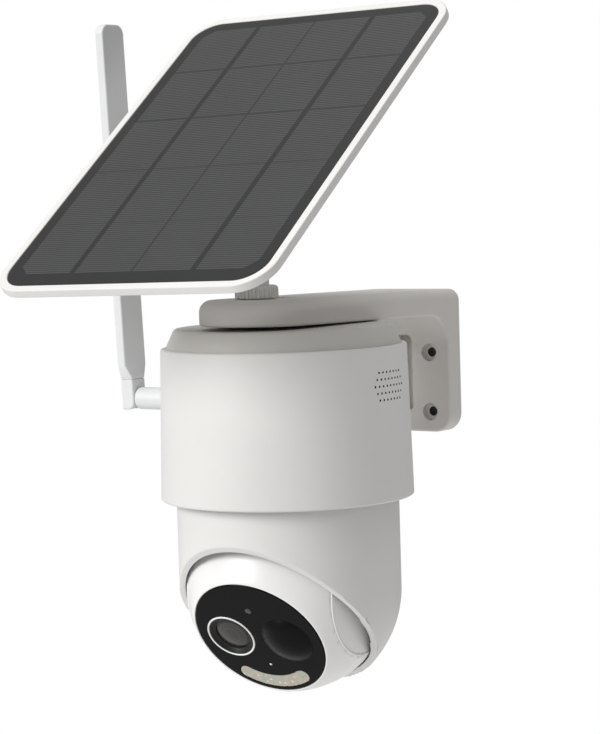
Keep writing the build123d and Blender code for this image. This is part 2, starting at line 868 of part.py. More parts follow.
with BuildPart() as motion_sensor:
    with BuildSketch(face(19.5)):
        with Locations((dome_x, 0)):
            Circle(7)
    extrude(amount=1.4)
    with BuildSketch(face(20.9)):
        with Locations((dome_x, 0)):
            Circle(4.6)
    extrude(amount=4.2)
save(motion_sensor.part, "motion_sensor", heading)

with BuildPart() as lamp_window:
    with BuildSketch(face(face_back)):
        add(window_band(window_inner_r + 0.05, window_outer_r - 0.05, window_half_angle - 0.15))
    extrude(amount=face_front - face_back - 0.1)
save(lamp_window.part, "lamp_window", heading)

with BuildPart() as lamp_board:
    with BuildSketch(face(face_back - 2)):
        add(window_band(18.4, 25.2, window_half_angle))
    extrude(amount=1)
    with BuildSketch(face(face_back - 1)):
        with PolarLocations(22.2, 8, start_angle=-90 - 35, angular_range=70, endpoint=True):
            Rectangle(2.8, 2.8)
    extrude(amount=0.7)
save(lamp_board.part, "lamp_board", heading)

with BuildPart() as light_sensor:
    with BuildSketch(face(face_back - 0.5)):
        with Locations((0, sensor_y)):
            Circle(1.25)
    extrude(amount=face_front - face_back + 0.4)
save(light_sensor.part, "light_sensor", heading)

with BuildPart() as microphone:
    with BuildSketch(face(face_back - 1.6)):
        with Locations((0, mic_y)):
            Circle(2.2)
    extrude(amount=1.5)
save(microphone.part, "microphone", heading)

with BuildPart() as tilt_motor:
    with BuildSketch(rear_plane(tilt_gear_x + 3.4, tilt_centres)):
        Circle(tilt_motor_r)
    extrude(amount=14)
    with BuildSketch(rear_plane(tilt_gear_x, tilt_centres)):
        Circle(1.2)
    extrude(amount=3.4)
save(tilt_motor.part, "tilt_motor", heading)

with BuildPart() as tilt_pinion:
    with BuildSketch(rear_plane(tilt_gear_x, tilt_centres)):
        Polygon(*gear_points(tilt_pinion_teeth, tilt_module, 180 / tilt_pinion_teeth), align=None)
        Circle(1.2 + running_gap, mode=Mode.SUBTRACT)
    extrude(amount=tilt_gear_width)
save(tilt_pinion.part, "tilt_pinion", heading)

# solar panel

slope_cos = math.cos(math.radians(panel_slope))
slope_sin = math.sin(math.radians(panel_slope))
twist_cos = math.cos(math.radians(panel_twist))
twist_sin = math.sin(math.radians(panel_twist))
panel = Plane(
    panel_centre,
    x_dir=(twist_cos, twist_sin * slope_cos, twist_sin * slope_sin),
    z_dir=(0, -slope_sin, slope_cos),
)
frame_width = glass_width + 2 * frame_border
frame_length = glass_length + 2 * frame_border
frame_corner = glass_corner + frame_border
joint_z = panel_centre[2] - joint_drop * slope_cos

with BuildPart() as solar_laminate:
    with BuildSketch(panel.offset(-glass_thickness)):
        RectangleRounded(glass_width, glass_length, glass_corner)
    extrude(amount=glass_thickness)
save(solar_laminate.part, "solar_laminate")

with BuildPart() as panel_frame:
    with BuildSketch(panel.offset(-frame_thickness)):
        RectangleRounded(frame_width, frame_length, frame_corner)
    extrude(amount=frame_thickness + frame_lip)
    with BuildSketch(panel.offset(-glass_thickness - 0.05)):
        RectangleRounded(glass_width + 0.1, glass_length + 0.1, glass_corner + 0.05)
    extrude(amount=glass_thickness + 1, mode=Mode.SUBTRACT)
    with BuildSketch(panel.offset(-frame_thickness)):
        RectangleRounded(glass_width - 6, glass_length - 6, glass_corner - 3)
    extrude(amount=frame_thickness, mode=Mode.SUBTRACT)
    fillet(panel_frame.faces().sort_by(Axis(panel.origin, panel.z_dir))[-1].edges(), 0.25)
save(panel_frame.part, "panel_frame")

with BuildPart() as panel_back:
    with BuildSketch(panel.offset(-frame_thickness)):
        RectangleRounded(frame_width - 1.6, frame_length - 1.6, frame_corner - 0.8)
    with BuildSketch(panel.offset(-frame_thickness - back_depth)):
        RectangleRounded(
            frame_width - 2 * back_inset,
            frame_length - 2 * back_inset,
            frame_corner - back_inset,
        )
    loft()
    with BuildSketch(panel.offset(-frame_thickness)):
        RectangleRounded(frame_width - 8, frame_length - 8, frame_corner - 4)
    with BuildSketch(panel.offset(-frame_thickness - back_depth + 1.6)):
        RectangleRounded(
            frame_width - 2 * back_inset - 3,
            frame_length - 2 * back_inset - 3,
            frame_corner - back_inset - 1.5,
        )
    loft(mode=Mode.SUBTRACT)
    with BuildSketch(panel.offset(-frame_thickness - back_depth)):
        Circle(19)
        with Locations((34, -34)):
            Circle(2.6, mode=Mode.SUBTRACT)
    extrude(amount=-1.6)
    with BuildSketch(panel.offset(-frame_thickness - back_depth - 1)):
        with Locations((34, -34)):
            Circle(3.1)
    extrude(amount=3, mode=Mode.SUBTRACT)
save(panel_back.part, "panel_back")

socket_base = frame_thickness + back_depth + 1.6
with BuildPart() as ball_socket:
    with BuildSketch(panel.offset(-socket_base)):
        Circle(16)
    extrude(amount=-2.4)
    with BuildSketch(panel.offset(-socket_base - 2.4)):
        Circle(12.4)
    extrude(amount=-(joint_drop + 1.3 - socket_base - 2.4))
    with Locations(panel.offset(-joint_drop)):
        Sphere(joint_ball_r + joint_gap, mode=Mode.SUBTRACT)
save(ball_socket.part, "ball_socket")

with BuildPart() as cable_gland:
    with BuildSketch(panel.offset(-frame_thickness - back_depth)):
        with Locations((34, -34)):
            RegularPolygon(5, 6)
    extrude(amount=-3)
    with BuildSketch(panel.offset(-frame_thickness - back_depth - 3)):
        with Locations((34, -34)):
            Circle(3.8)
    extrude(amount=-5, taper=8)
    with BuildSketch(panel.offset(-frame_thickness - back_depth)):
        with Locations((34, -34)):
            Circle(3)
    extrude(amount=2.5)
    with BuildSketch(panel.offset(-frame_thickness - back_depth - 8)):
        with Locations((34, -34)):
            Circle(1.7)
    extrude(amount=11, mode=Mode.SUBTRACT)
save(cable_gland.part, "cable_gland")

with BuildPart() as panel_stud:
    with Locations((0, -stud_reach, joint_z)):
        Sphere(joint_ball_r)
    with BuildSketch(Plane((0, -stud_reach, joint_z))):
        Circle(stud_neck_r)
    extrude(amount=-16)
    with BuildSketch(Plane((0, -stud_reach, joint_z - 16))):
        Circle(stud_r)
    extrude(amount=-(joint_z - 16 - flange_bottom))
    with BuildSketch(Plane((0, -stud_reach, flange_bottom))):
        Circle(flange_r)
    extrude(amount=flange_thickness)
save(panel_stud.part, "panel_stud")

nut_bottom = arm_top_at_stud + 0.35
with BuildPart() as lock_nut:
    with BuildSketch(Plane((0, -stud_reach, nut_bottom))):
        Circle(nut_r)
        with PolarLocations(nut_r + 0.25, nut_ridges):
            Circle(nut_groove_r, mode=Mode.SUBTRACT)
    extrude(amount=nut_height)
    with BuildSketch(Plane((0, -stud_reach, nut_bottom))):
        Circle(nut_r - 2.2)
    extrude(amount=nut_height - 1.4, mode=Mode.SUBTRACT)
    with BuildSketch(Plane((0, -stud_reach, nut_bottom))):
        Circle(stud_r + 0.3)
    extrude(amount=nut_height, mode=Mode.SUBTRACT)
save(lock_nut.part, "lock_nut")

# antenna


def antenna_level(x):
    """Plane across the antenna's stub at x, facing outwards."""
    return Plane((x, -body_reach, antenna_z), x_dir=(0, -1, 0), z_dir=(-1, 0, 0))


with BuildPart() as antenna_socket:
    with BuildSketch(antenna_level(-43.6)):
        Circle(4.6)
    extrude(amount=6.6)
    with BuildSketch(antenna_level(-50.2)):
        Circle(axle_r)
    extrude(amount=6)
save(antenna_socket.part, "antenna_socket")

with BuildPart() as antenna_nut:
    with BuildSketch(antenna_level(-44)):
        RegularPolygon(7, 6)
        Circle(4.65, mode=Mode.SUBTRACT)
    extrude(amount=2.3)
save(antenna_nut.part, "antenna_nut")

with BuildPart() as antenna_elbow:
    with BuildSketch(antenna_level(-50.5)):
        Circle(stub_r)
    extrude(amount=stub_end - 50.5)
    chamfer(antenna_elbow.faces().sort_by(Axis.X)[0].edges(), 0.6)
    with BuildSketch(antenna_level(-50.5)):
        Circle(axle_r + running_gap)
    extrude(amount=6.5, mode=Mode.SUBTRACT)
    with BuildSketch(Plane.XZ.offset(body_reach)):
        with Locations((pin_x, pin_z)):
            Circle(3)
        with Locations(((pin_x - stub_end) / 2, pin_z)):
            Rectangle(-pin_x - stub_end, 6)
    extrude(amount=fork_gap / 2 - 0.15, both=True)
    with BuildSketch(Plane.XZ.offset(body_reach)):
        with Locations((pin_x, pin_z)):
            Circle(pin_r + running_gap)
    extrude(amount=5, both=True, mode=Mode.SUBTRACT)
save(antenna_elbow.part, "antenna_elbow")

lean_cos = math.cos(math.radians(blade_lean))
lean_sin = math.sin(math.radians(blade_lean))
pin_point = (pin_x, -body_reach, pin_z)
blade_across = Plane(pin_point, x_dir=(lean_cos, 0, lean_sin), z_dir=(0, -1, 0))
blade_flat = Plane(pin_point, x_dir=(0, 1, 0), z_dir=(lean_cos, 0, lean_sin))
blade_up = Plane(pin_point, x_dir=(lean_cos, 0, lean_sin), z_dir=(-lean_sin, 0, lean_cos))
knuckle_top = blade_shoulder - 5.2

with BuildPart() as antenna_blade:
    with BuildSketch(blade_flat) as blade_outline:
        with Locations((0, (blade_shoulder + blade_top) / 2)):
            Rectangle(blade_width, blade_top - blade_shoulder)
        fillet(blade_outline.vertices().group_by(Axis.Y)[-1], 4)
    extrude(amount=blade_thickness / 2, both=True)
    with BuildSketch(blade_up.offset(knuckle_top)):
        RectangleRounded(knuckle_width, knuckle_depth, 0.8)
    with BuildSketch(blade_up.offset(blade_shoulder + 0.01)):
        RectangleRounded(blade_thickness, blade_width, 0.9)
    loft()
    with BuildSketch(blade_across) as knuckle_outline:
        with Locations((0, (knuckle_top - knuckle_bottom) / 2)):
            Rectangle(knuckle_width, knuckle_top + knuckle_bottom)
        lower_right = knuckle_outline.vertices().group_by(Axis.Y)[0].sort_by(Axis.X)[-1]
        fillet(lower_right, knuckle_width / 2 - 0.1)
    extrude(amount=knuckle_depth / 2, both=True)
    with BuildSketch(blade_across):
        with Locations((0, 0.4)):
            Rectangle(knuckle_width + 4, 7.8)
    extrude(amount=fork_gap / 2, both=True, mode=Mode.SUBTRACT)
    with BuildSketch(blade_across):
        Circle(pin_r)
    extrude(amount=knuckle_depth, both=True, mode=Mode.SUBTRACT)
save(antenna_blade.part, "antenna_blade")

with BuildPart() as antenna_pin:
    with BuildSketch(blade_across):
        Circle(pin_r - 0.02)
    extrude(amount=knuckle_depth / 2 - 0.1, both=True)
save(antenna_pin.part, "antenna_pin")
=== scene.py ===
import math

import bmesh
import bpy
from mathutils import Matrix, Vector


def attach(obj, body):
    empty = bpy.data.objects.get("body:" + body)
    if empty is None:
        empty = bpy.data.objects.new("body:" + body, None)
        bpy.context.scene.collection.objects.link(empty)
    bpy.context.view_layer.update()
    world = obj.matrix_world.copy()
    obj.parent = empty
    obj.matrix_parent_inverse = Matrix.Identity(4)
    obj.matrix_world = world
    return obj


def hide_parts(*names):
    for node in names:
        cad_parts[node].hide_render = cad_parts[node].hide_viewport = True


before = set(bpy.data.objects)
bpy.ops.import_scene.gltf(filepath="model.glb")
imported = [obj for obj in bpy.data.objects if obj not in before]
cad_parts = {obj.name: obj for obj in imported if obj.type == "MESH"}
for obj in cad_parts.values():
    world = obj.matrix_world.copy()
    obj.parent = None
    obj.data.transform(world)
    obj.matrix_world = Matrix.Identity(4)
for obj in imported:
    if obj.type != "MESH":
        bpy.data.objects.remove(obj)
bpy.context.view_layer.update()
mm = 0.001
up = Vector((0, 0, 1))
print("frame loaded:", len(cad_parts), "nodes")


# tools for modelling

def deselectAll():
    bpy.ops.object.select_all(action="DESELECT")


def makeActive(obj):
    deselectAll()
    obj.select_set(True)
    bpy.context.view_layer.objects.active = obj


def edit(obj):
    makeActive(obj)
    bpy.ops.object.mode_set(mode="EDIT")
    bpy.ops.mesh.select_mode(type="VERT")


def leave():
    bpy.ops.object.mode_set(mode="OBJECT")


def choose(obj, kind, test):
    # in edit mode: select only the verts, edges or faces that pass the test
    bpy.ops.mesh.select_mode(type=kind)
    bpy.ops.mesh.select_all(action="DESELECT")
    mesh = bmesh.from_edit_mesh(obj.data)
    items = {"VERT": mesh.verts, "EDGE": mesh.edges, "FACE": mesh.faces}[kind]
    for item in items:
        if test(item):
            item.select = True
    mesh.select_flush_mode()
    bmesh.update_edit_mesh(obj.data)


def middle(edge):
    return (edge.verts[0].co + edge.verts[1].co) / 2


def along(edge):
    return (edge.verts[1].co - edge.verts[0].co).normalized()


def modifier(obj, kind, **settings):
    makeActive(obj)
    bpy.ops.object.modifier_add(type=kind)
    added = obj.modifiers[-1]
    for key, value in settings.items():
        setattr(added, key, value)
    bpy.ops.object.modifier_apply(modifier=added.name)


def soften(obj, width, segments=3, angle=32):
    # round every edge sharper than the angle
    modifier(obj, "BEVEL", width=width, segments=segments, limit_method="ANGLE", angle_limit=math.radians(angle),
             miter_outer="MITER_ARC", use_clamp_overlap=True)


def shade(obj, angle=38):
    makeActive(obj)
    bpy.ops.object.shade_smooth_by_angle(angle=math.radians(angle))
    modifier(obj, "WEIGHTED_NORMAL", keep_sharp=True, weight=60)


def settle(obj, matrix=None):
    # place the piece, then put its place into its mesh
    if matrix is not None:
        obj.matrix_world = matrix @ obj.matrix_world
    makeActive(obj)
    bpy.ops.object.transform_apply(location=True, rotation=True, scale=True)


def cut(obj, cutter):
    modifier(obj, "BOOLEAN", operation="DIFFERENCE", solver="EXACT", object=cutter)
    bpy.data.objects.remove(cutter)


def outwards(obj):
    edit(obj)
    bpy.ops.mesh.select_all(action="SELECT")
    bpy.ops.mesh.remove_doubles(threshold=1e-6)
    bpy.ops.mesh.normals_make_consistent(inside=False)
    leave()


def arc(centre, radius, start, end, count):
    # points on an arc, in degrees, for a profile
    points = []
    for step in range(count + 1):
        angle = math.radians(start + (end - start) * step / count)
        points.append((centre[0] + radius * math.cos(angle), centre[1] + radius * math.sin(angle)))
    return points


def chain(name, points, closed):
    # one vertex, extruded from point to point; points are (x, z)
    deselectAll()
    bpy.ops.mesh.primitive_plane_add(size=mm, location=(points[0][0], 0, points[0][1]))
    obj = bpy.context.object
    obj.name = name
    settle(obj)
    edit(obj)
    bpy.ops.mesh.select_all(action="SELECT")
    bpy.ops.mesh.merge(type="CENTER")
    bpy.ops.mesh.select_mode(type="VERT")
    for before, after in zip(points, points[1:]):
        step = (after[0] - before[0], 0, after[1] - before[1])
        bpy.ops.mesh.extrude_vertices_move(TRANSFORM_OT_translate={"value": step})
    if closed:
        mesh = bmesh.from_edit_mesh(obj.data)
        mesh.verts.ensure_lookup_table()
        for vert in mesh.verts:
            vert.select = vert.index in (0, len(mesh.verts) - 1)
        mesh.select_flush_mode()
        bpy.ops.mesh.edge_face_add()
    leave()
    return obj


def lathe(name, points, steps=96, closed=True):
    # spin a profile of (radius, height) points about Z
    obj = chain(name, [(r * mm, z * mm) for r, z in points], closed)
    edit(obj)
    bpy.ops.mesh.select_all(action="SELECT")
    bpy.ops.mesh.spin(steps=steps, angle=2 * math.pi, center=(0, 0, 0), axis=(0, 0, 1))
    leave()
    outwards(obj)
    return obj


def plate(name, width, length, corner, thickness, segments=14):
    # rounded plate, its top at z = 0, from a plane with its corners bevelled and its face pushed down
    deselectAll()
    bpy.ops.mesh.primitive_plane_add(size=1)
    obj = bpy.context.object
    obj.name = name
    obj.scale = (width * mm, length * mm, 1)
    settle(obj)
    edit(obj)
    bpy.ops.mesh.select_all(action="SELECT")
    bpy.ops.mesh.bevel(offset=corner * mm, segments=segments, affect="VERTICES", offset_type="OFFSET")
    bpy.ops.mesh.select_all(action="SELECT")
    bpy.ops.mesh.extrude_region_move(TRANSFORM_OT_translate={"value": (0, 0, -thickness * mm)})
    leave()
    outwards(obj)
    return obj


def cylinder(name, radius, depth, centre=(0, 0, 0), sides=48, turn=(0, 0, 0)):
    deselectAll()
    bpy.ops.mesh.primitive_cylinder_add(radius=radius * mm, depth=depth * mm, vertices=sides,
                                        location=[c * mm for c in centre], rotation=[math.radians(t) for t in turn])
    obj = bpy.context.object
    obj.name = name
    settle(obj)
    return obj


def bandShape(name, size, shrink, depth):
    # a curved band below the centre with round ends, filled and pushed up
    centreLine, half = (size["windowInner"] + size["windowOuter"]) / 2, size["windowHalf"]
    endRadius = (size["windowOuter"] - size["windowInner"]) / 2 - shrink
    first, last = -90 - half, -90 + half

    def roundEnd(angle, start):
        centre = (centreLine * math.cos(math.radians(angle)), centreLine * math.sin(math.radians(angle)))
        return arc(centre, endRadius, start, start + 180, 14)[1:]
    points = arc((0, 0), centreLine + endRadius, first, last, 30) + roundEnd(last, last)
    points += arc((0, 0), centreLine - endRadius, last, first, 26)[1:] + roundEnd(first, first + 180)
    obj = chain(name, [(x * mm, y * mm) for x, y in points[:-1]], True)
    edit(obj)
    bpy.ops.mesh.select_all(action="SELECT")
    bpy.ops.mesh.edge_face_add()
    leave()
    settle(obj, Matrix.Rotation(math.radians(-90), 4, "X"))
    edit(obj)
    bpy.ops.mesh.select_all(action="SELECT")
    bpy.ops.mesh.extrude_region_move(TRANSFORM_OT_translate={"value": (0, 0, depth * mm)})
    leave()
    outwards(obj)
    return obj


def paint(obj, material, test):
    # a second material on the faces that pass the test
    obj.data.materials.append(material)
    edit(obj)
    choose(obj, "FACE", test)
    obj.active_material_index = len(obj.data.materials) - 1
    bpy.ops.object.material_slot_assign()
    leave()


# shader tools: a socket that takes sums, and one method for every node

class Wire:
    def __init__(self, finish, socket):
        self.finish = finish
        self.socket = socket

    def maths(self, operation, *values):
        return self.finish.add("ShaderNodeMath", {"operation": operation}, dict(enumerate(values)))

    def __add__(self, other):
        return self.maths("ADD", self, other)

    def __radd__(self, other):
        return self.maths("ADD", other, self)

    def __sub__(self, other):
        return self.maths("SUBTRACT", self, other)

    def __rsub__(self, other):
        return self.maths("SUBTRACT", other, self)

    def __mul__(self, other):
        return self.maths("MULTIPLY", self, other)

    def __rmul__(self, other):
        return self.maths("MULTIPLY", other, self)

    def __truediv__(self, other):
        return self.maths("DIVIDE", self, other)

    def __lt__(self, other):
        return self.maths("LESS_THAN", self, other)

    def __gt__(self, other):
        return self.maths("GREATER_THAN", self, other)

    def size(self):
        return self.maths("ABSOLUTE", self)

    def root(self):
        return self.maths("SQRT", self)

    def wrap(self, low, high):
        return self.maths("WRAP", self, high, low)  # Wrap takes its largest value first

    def larger(self, other):
        return self.maths("MAXIMUM", self, other)

    def parts(self):
        node = self.finish.node("ShaderNodeSeparateXYZ", {}, {0: self})
        return [Wire(self.finish, node.outputs[axis]) for axis in range(3)]


class Finish:
    def __init__(self, name, values):
        self.material = bpy.data.materials.new(name)
        self.material.use_nodes = True
        self.tree = self.material.node_tree
        self.shader = self.tree.nodes["Principled BSDF"]
        for socketName, value in values.items():
            self.set(socketName, value)

    def set(self, socketName, value):
        self.connect(self.shader.inputs[socketName], value)

    def connect(self, socket, value):
        if isinstance(value, Wire):
            self.tree.links.new(value.socket, socket)
        elif isinstance(value, (tuple, list)) and len(value) == 3 and socket.type == "RGBA":
            socket.default_value = (*value, 1)
        else:
            socket.default_value = value

    def node(self, kind, settings, inputs):
        node = self.tree.nodes.new(kind)
        for key, value in settings.items():
            if key == "stops":
                for index, (place, colour) in enumerate(value):
                    stop = node.color_ramp.elements[index] if index < 2 else node.color_ramp.elements.new(place)
                    stop.position = place
                    stop.color = (*colour, 1)
            else:
                setattr(node, key, value)
        for key, value in inputs.items():
            self.connect(node.inputs[key], value)
        return node

    def add(self, kind, settings, inputs, output=0):
        return Wire(self, self.node(kind, settings, inputs).outputs[output])

    def place(self):
        return self.add("ShaderNodeTexCoord", {}, {}, "Object")

    def local(self, location, rotation):
        # the object's own coordinates, moved and turned into a piece's plane
        return self.add("ShaderNodeMapping", {"vector_type": "TEXTURE"},
                        {"Vector": self.place(), "Location": location, "Rotation": rotation})

    def noise(self, scale, detail=3, roughness=0.55):
        return self.add("ShaderNodeTexNoise", {}, {"Vector": self.place(), "Scale": scale, "Detail": detail,
                                                    "Roughness": roughness})

    def mix(self, factor, first, second):
        return self.add("ShaderNodeMix", {"data_type": "RGBA"}, {"Factor": factor, 6: first, 7: second}, 2)

    def spread(self, value, fromLow, fromHigh, low, high):
        return self.add("ShaderNodeMapRange", {}, {0: value, 1: fromLow, 2: fromHigh, 3: low, 4: high})

    def bump(self, height, strength, distance):
        return self.add("ShaderNodeBump", {}, {"Height": height, "Strength": strength, "Distance": distance})


def mouldedPlastic(name, colour, rough=0.42, grain=0.16, coat=0.0, tint=0.03):
    # moulded shell: fine spark-eroded grain, faint clouds in its colour and gloss
    finish = Finish(name, {"Coat Weight": coat, "Coat Roughness": 0.25, "IOR": 1.46})
    cloud = finish.noise(14, 4)
    fleck = finish.noise(900, 2)
    darker = [c * (1 - tint) for c in colour]
    lighter = [min(1, c * (1 + tint * 0.6)) for c in colour]
    finish.set("Base Color", finish.mix(finish.spread(cloud, 0.3, 0.7, 0, 1), darker, lighter))
    finish.set("Roughness", finish.spread(cloud + fleck * 0.4, 0.4, 1.0, rough - 0.05, rough + 0.07))
    grainHeight = finish.noise(2600, 2, 0.6) + 0.6 * finish.noise(900, 2)
    finish.set("Normal", finish.bump(grainHeight, grain, 0.0002))
    return finish.material


def glossPlastic(name, colour, rough=0.08, shine=0.22):
    # polished face: a faint haze in its gloss
    finish = Finish(name, {"Base Color": colour, "Specular IOR Level": shine, "IOR": 1.5})
    haze = finish.noise(45, 5, 0.65)
    finish.set("Roughness", finish.spread(haze, 0.35, 0.75, rough, rough + 0.09))
    finish.set("Normal", finish.bump(finish.noise(160, 2), 0.012, 0.0004))
    return finish.material


def rubber(name, colour):
    finish = Finish(name, {"Specular IOR Level": 0.3})
    cloud = finish.noise(220, 4)
    finish.set("Base Color", finish.mix(cloud, [c * 0.85 for c in colour], [min(1, c * 1.15) for c in colour]))
    finish.set("Roughness", finish.spread(cloud, 0.3, 0.7, 0.62, 0.8))
    finish.set("Normal", finish.bump(finish.noise(1800, 2), 0.2, 0.0002))
    return finish.material


def metal(name, colour, rough=0.3):
    finish = Finish(name, {"Metallic": 1.0})
    grain = finish.noise(700, 3, 0.5)
    finish.set("Base Color", finish.mix(finish.noise(60), [c * 0.88 for c in colour], colour))
    finish.set("Roughness", finish.spread(grain, 0.3, 0.7, rough - 0.06, rough + 0.1))
    finish.set("Normal", finish.bump(grain, 0.08, 0.0002))
    return finish.material


def circuitBoard(name):
    # green solder mask with tracks showing through and pale pads
    finish = Finish(name, {"Coat Weight": 0.3})
    x, y, z = finish.place().parts()
    track = ((x * 1000).wrap(0, 1.6) < 0.35).larger((y * 1000).wrap(0, 2.3) < 0.3)
    patch = finish.noise(110, 1) > 0.5
    green = finish.mix(track * patch, (0.012, 0.09, 0.04), (0.03, 0.2, 0.09))
    pads = finish.add("ShaderNodeTexVoronoi", {}, {"Vector": finish.place(), "Scale": 420}) < 0.18
    finish.set("Base Color", finish.mix(pads * patch, green, (0.62, 0.6, 0.52)))
    finish.set("Roughness", 0.38)
    return finish.material


def lampBoard(name):
    # pale diodes set close together under the clear window
    finish = Finish(name, {"Coat Weight": 0.4})
    spots = finish.add("ShaderNodeTexVoronoi", {"distance": "CHEBYCHEV"}, {"Vector": finish.place(), "Scale": 330,
                                                                          "Randomness": 0.55})
    glow = finish.mix(finish.spread(spots, 0.1, 0.5, 0, 1), (1.0, 0.98, 0.93), (0.5, 0.43, 0.33))
    finish.set("Base Color", finish.mix(finish.noise(240, 2) * 0.5, glow, (0.75, 0.8, 0.72)))
    finish.set("Roughness", finish.spread(spots, 0.1, 0.5, 0.18, 0.5))
    finish.set("Normal", finish.bump(spots, 0.5, 0.0006))
    return finish.material


print("tools ready")


# finishes
bracketGrey = mouldedPlastic("bracketGrey", (0.66, 0.64, 0.615), rough=0.5, grain=0.22)
capGrey = mouldedPlastic("capGrey", (0.60, 0.585, 0.56), rough=0.46, grain=0.2)
housingWhite = mouldedPlastic("housingWhite", (0.76, 0.755, 0.745), rough=0.42, grain=0.14)
ballWhite = mouldedPlastic("ballWhite", (0.87, 0.87, 0.865), rough=0.3, grain=0.05, coat=0.15, tint=0.02)
ringWhite = mouldedPlastic("ringWhite", (0.86, 0.86, 0.86), rough=0.26, grain=0.03, coat=0.3, tint=0.015)
antennaWhite = mouldedPlastic("antennaWhite", (0.72, 0.73, 0.745), rough=0.44, grain=0.16)
jointGrey = mouldedPlastic("jointGrey", (0.73, 0.725, 0.7), rough=0.46, grain=0.16)
faceBlack = glossPlastic("faceBlack", (0.005, 0.0045, 0.005), rough=0.09, shine=0.09)
barrelBlack = mouldedPlastic("barrelBlack", (0.007, 0.007, 0.007), rough=0.5, grain=0.08)
innerBlack = mouldedPlastic("innerBlack", (0.03, 0.03, 0.03), rough=0.55)
# dark grey for the walls of small holes: painted shade, standing in for the shade that falls inside them
paintedHoleShade = mouldedPlastic("paintedHoleShade", (0.05, 0.049, 0.047), rough=0.7)
blackRubber = rubber("blackRubber", (0.03, 0.03, 0.03))
whiteRubber = rubber("whiteRubber", (0.7, 0.7, 0.69))
cellWrap = mouldedPlastic("cellWrap", (0.05, 0.28, 0.24), rough=0.3, grain=0.04)
gearNylon = mouldedPlastic("gearNylon", (0.78, 0.76, 0.69), rough=0.4, grain=0.1)
motorSteel = metal("motorSteel", (0.62, 0.62, 0.62), 0.28)
screwSteel = metal("screwSteel", (0.6, 0.6, 0.61), 0.25)
brass = metal("brass", (0.72, 0.55, 0.26), 0.3)
boardGreen = circuitBoard("boardGreen")
lampDiodes = lampBoard("lampDiodes")
print("finishes ready")

# directions and places shared by the pieces
plan = {"reach": 97.0, "ballHeight": -83.7, "heading": 4.5, "tiltDown": 33.4, "stubHeight": -10.15}
atPan = Matrix.Translation((0, -plan["reach"] * mm, 0))
atYoke = atPan @ Matrix.Rotation(math.radians(plan["heading"]), 4, "Z")
tiltCos = math.cos(math.radians(plan["tiltDown"]))
tiltSin = math.sin(math.radians(plan["tiltDown"]))
faceTurn = Matrix(((1, 0, 0, 0), (0, -tiltSin, -tiltCos, 0), (0, tiltCos, -tiltSin, 0), (0, 0, 0, 1)))
atHead = atYoke @ Matrix.Translation((0, 0, plan["ballHeight"] * mm)) @ faceTurn  # z runs out of the face
slope = {"centre": (0, -130.0, 92.7), "angle": 36.4, "twist": 1.6}
slopeTurn = (Matrix.Rotation(math.radians(slope["angle"]), 4, "X")
             @ Matrix.Rotation(math.radians(slope["twist"]), 4, "Z"))
atPanel = Matrix.Translation([c * mm for c in slope["centre"]]) @ slopeTurn


def piece(obj, matrix, body, material, nodes, angle=38):
    # put a finished shape in its place and hand it to its body
    settle(obj, matrix)
    shade(obj, angle)
    obj.data.materials.clear()
    obj.data.materials.append(material)
    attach(obj, body)
    if nodes:
        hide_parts(*nodes)
    return obj


def join(target, *others):
    deselectAll()
    for other in others:
        other.select_set(True)
    target.select_set(True)
    bpy.context.view_layer.objects.active = target
    bpy.ops.object.join()
    return target


def copies(obj, places):
    # one mesh per copy, then joined into the first
    made = []
    for place in places:
        twin = obj.copy()
        twin.data = obj.data.copy()
        bpy.context.scene.collection.objects.link(twin)
        settle(twin, place)
        made.append(twin)
    bpy.data.objects.remove(obj)
    return join(made[0], *made[1:]) if len(made) > 1 else made[0]


# bracket: a side profile pulled wide, its end rounded in plan, its top edge rolled over
bracket = {"width": 44.8, "low": -30.0, "top": 30.0, "rise": 2.0, "reach": 114.0, "thickness": 9.0, "under": 19.9,
           "inner": 14.0, "foot": 8.0, "edge": 4.8, "innerEdge": 1.1, "bolts": 25.0, "boltHeight": -8.9,
           "boltRadius": 2.0, "headRadius": 3.7, "headDepth": 2.5, "recessWidth": 8.4, "recessHeight": 32.0,
           "recessMiddle": -5.0, "recessDepth": 6.5, "screwHole": 5.6, "studHole": 5.1}


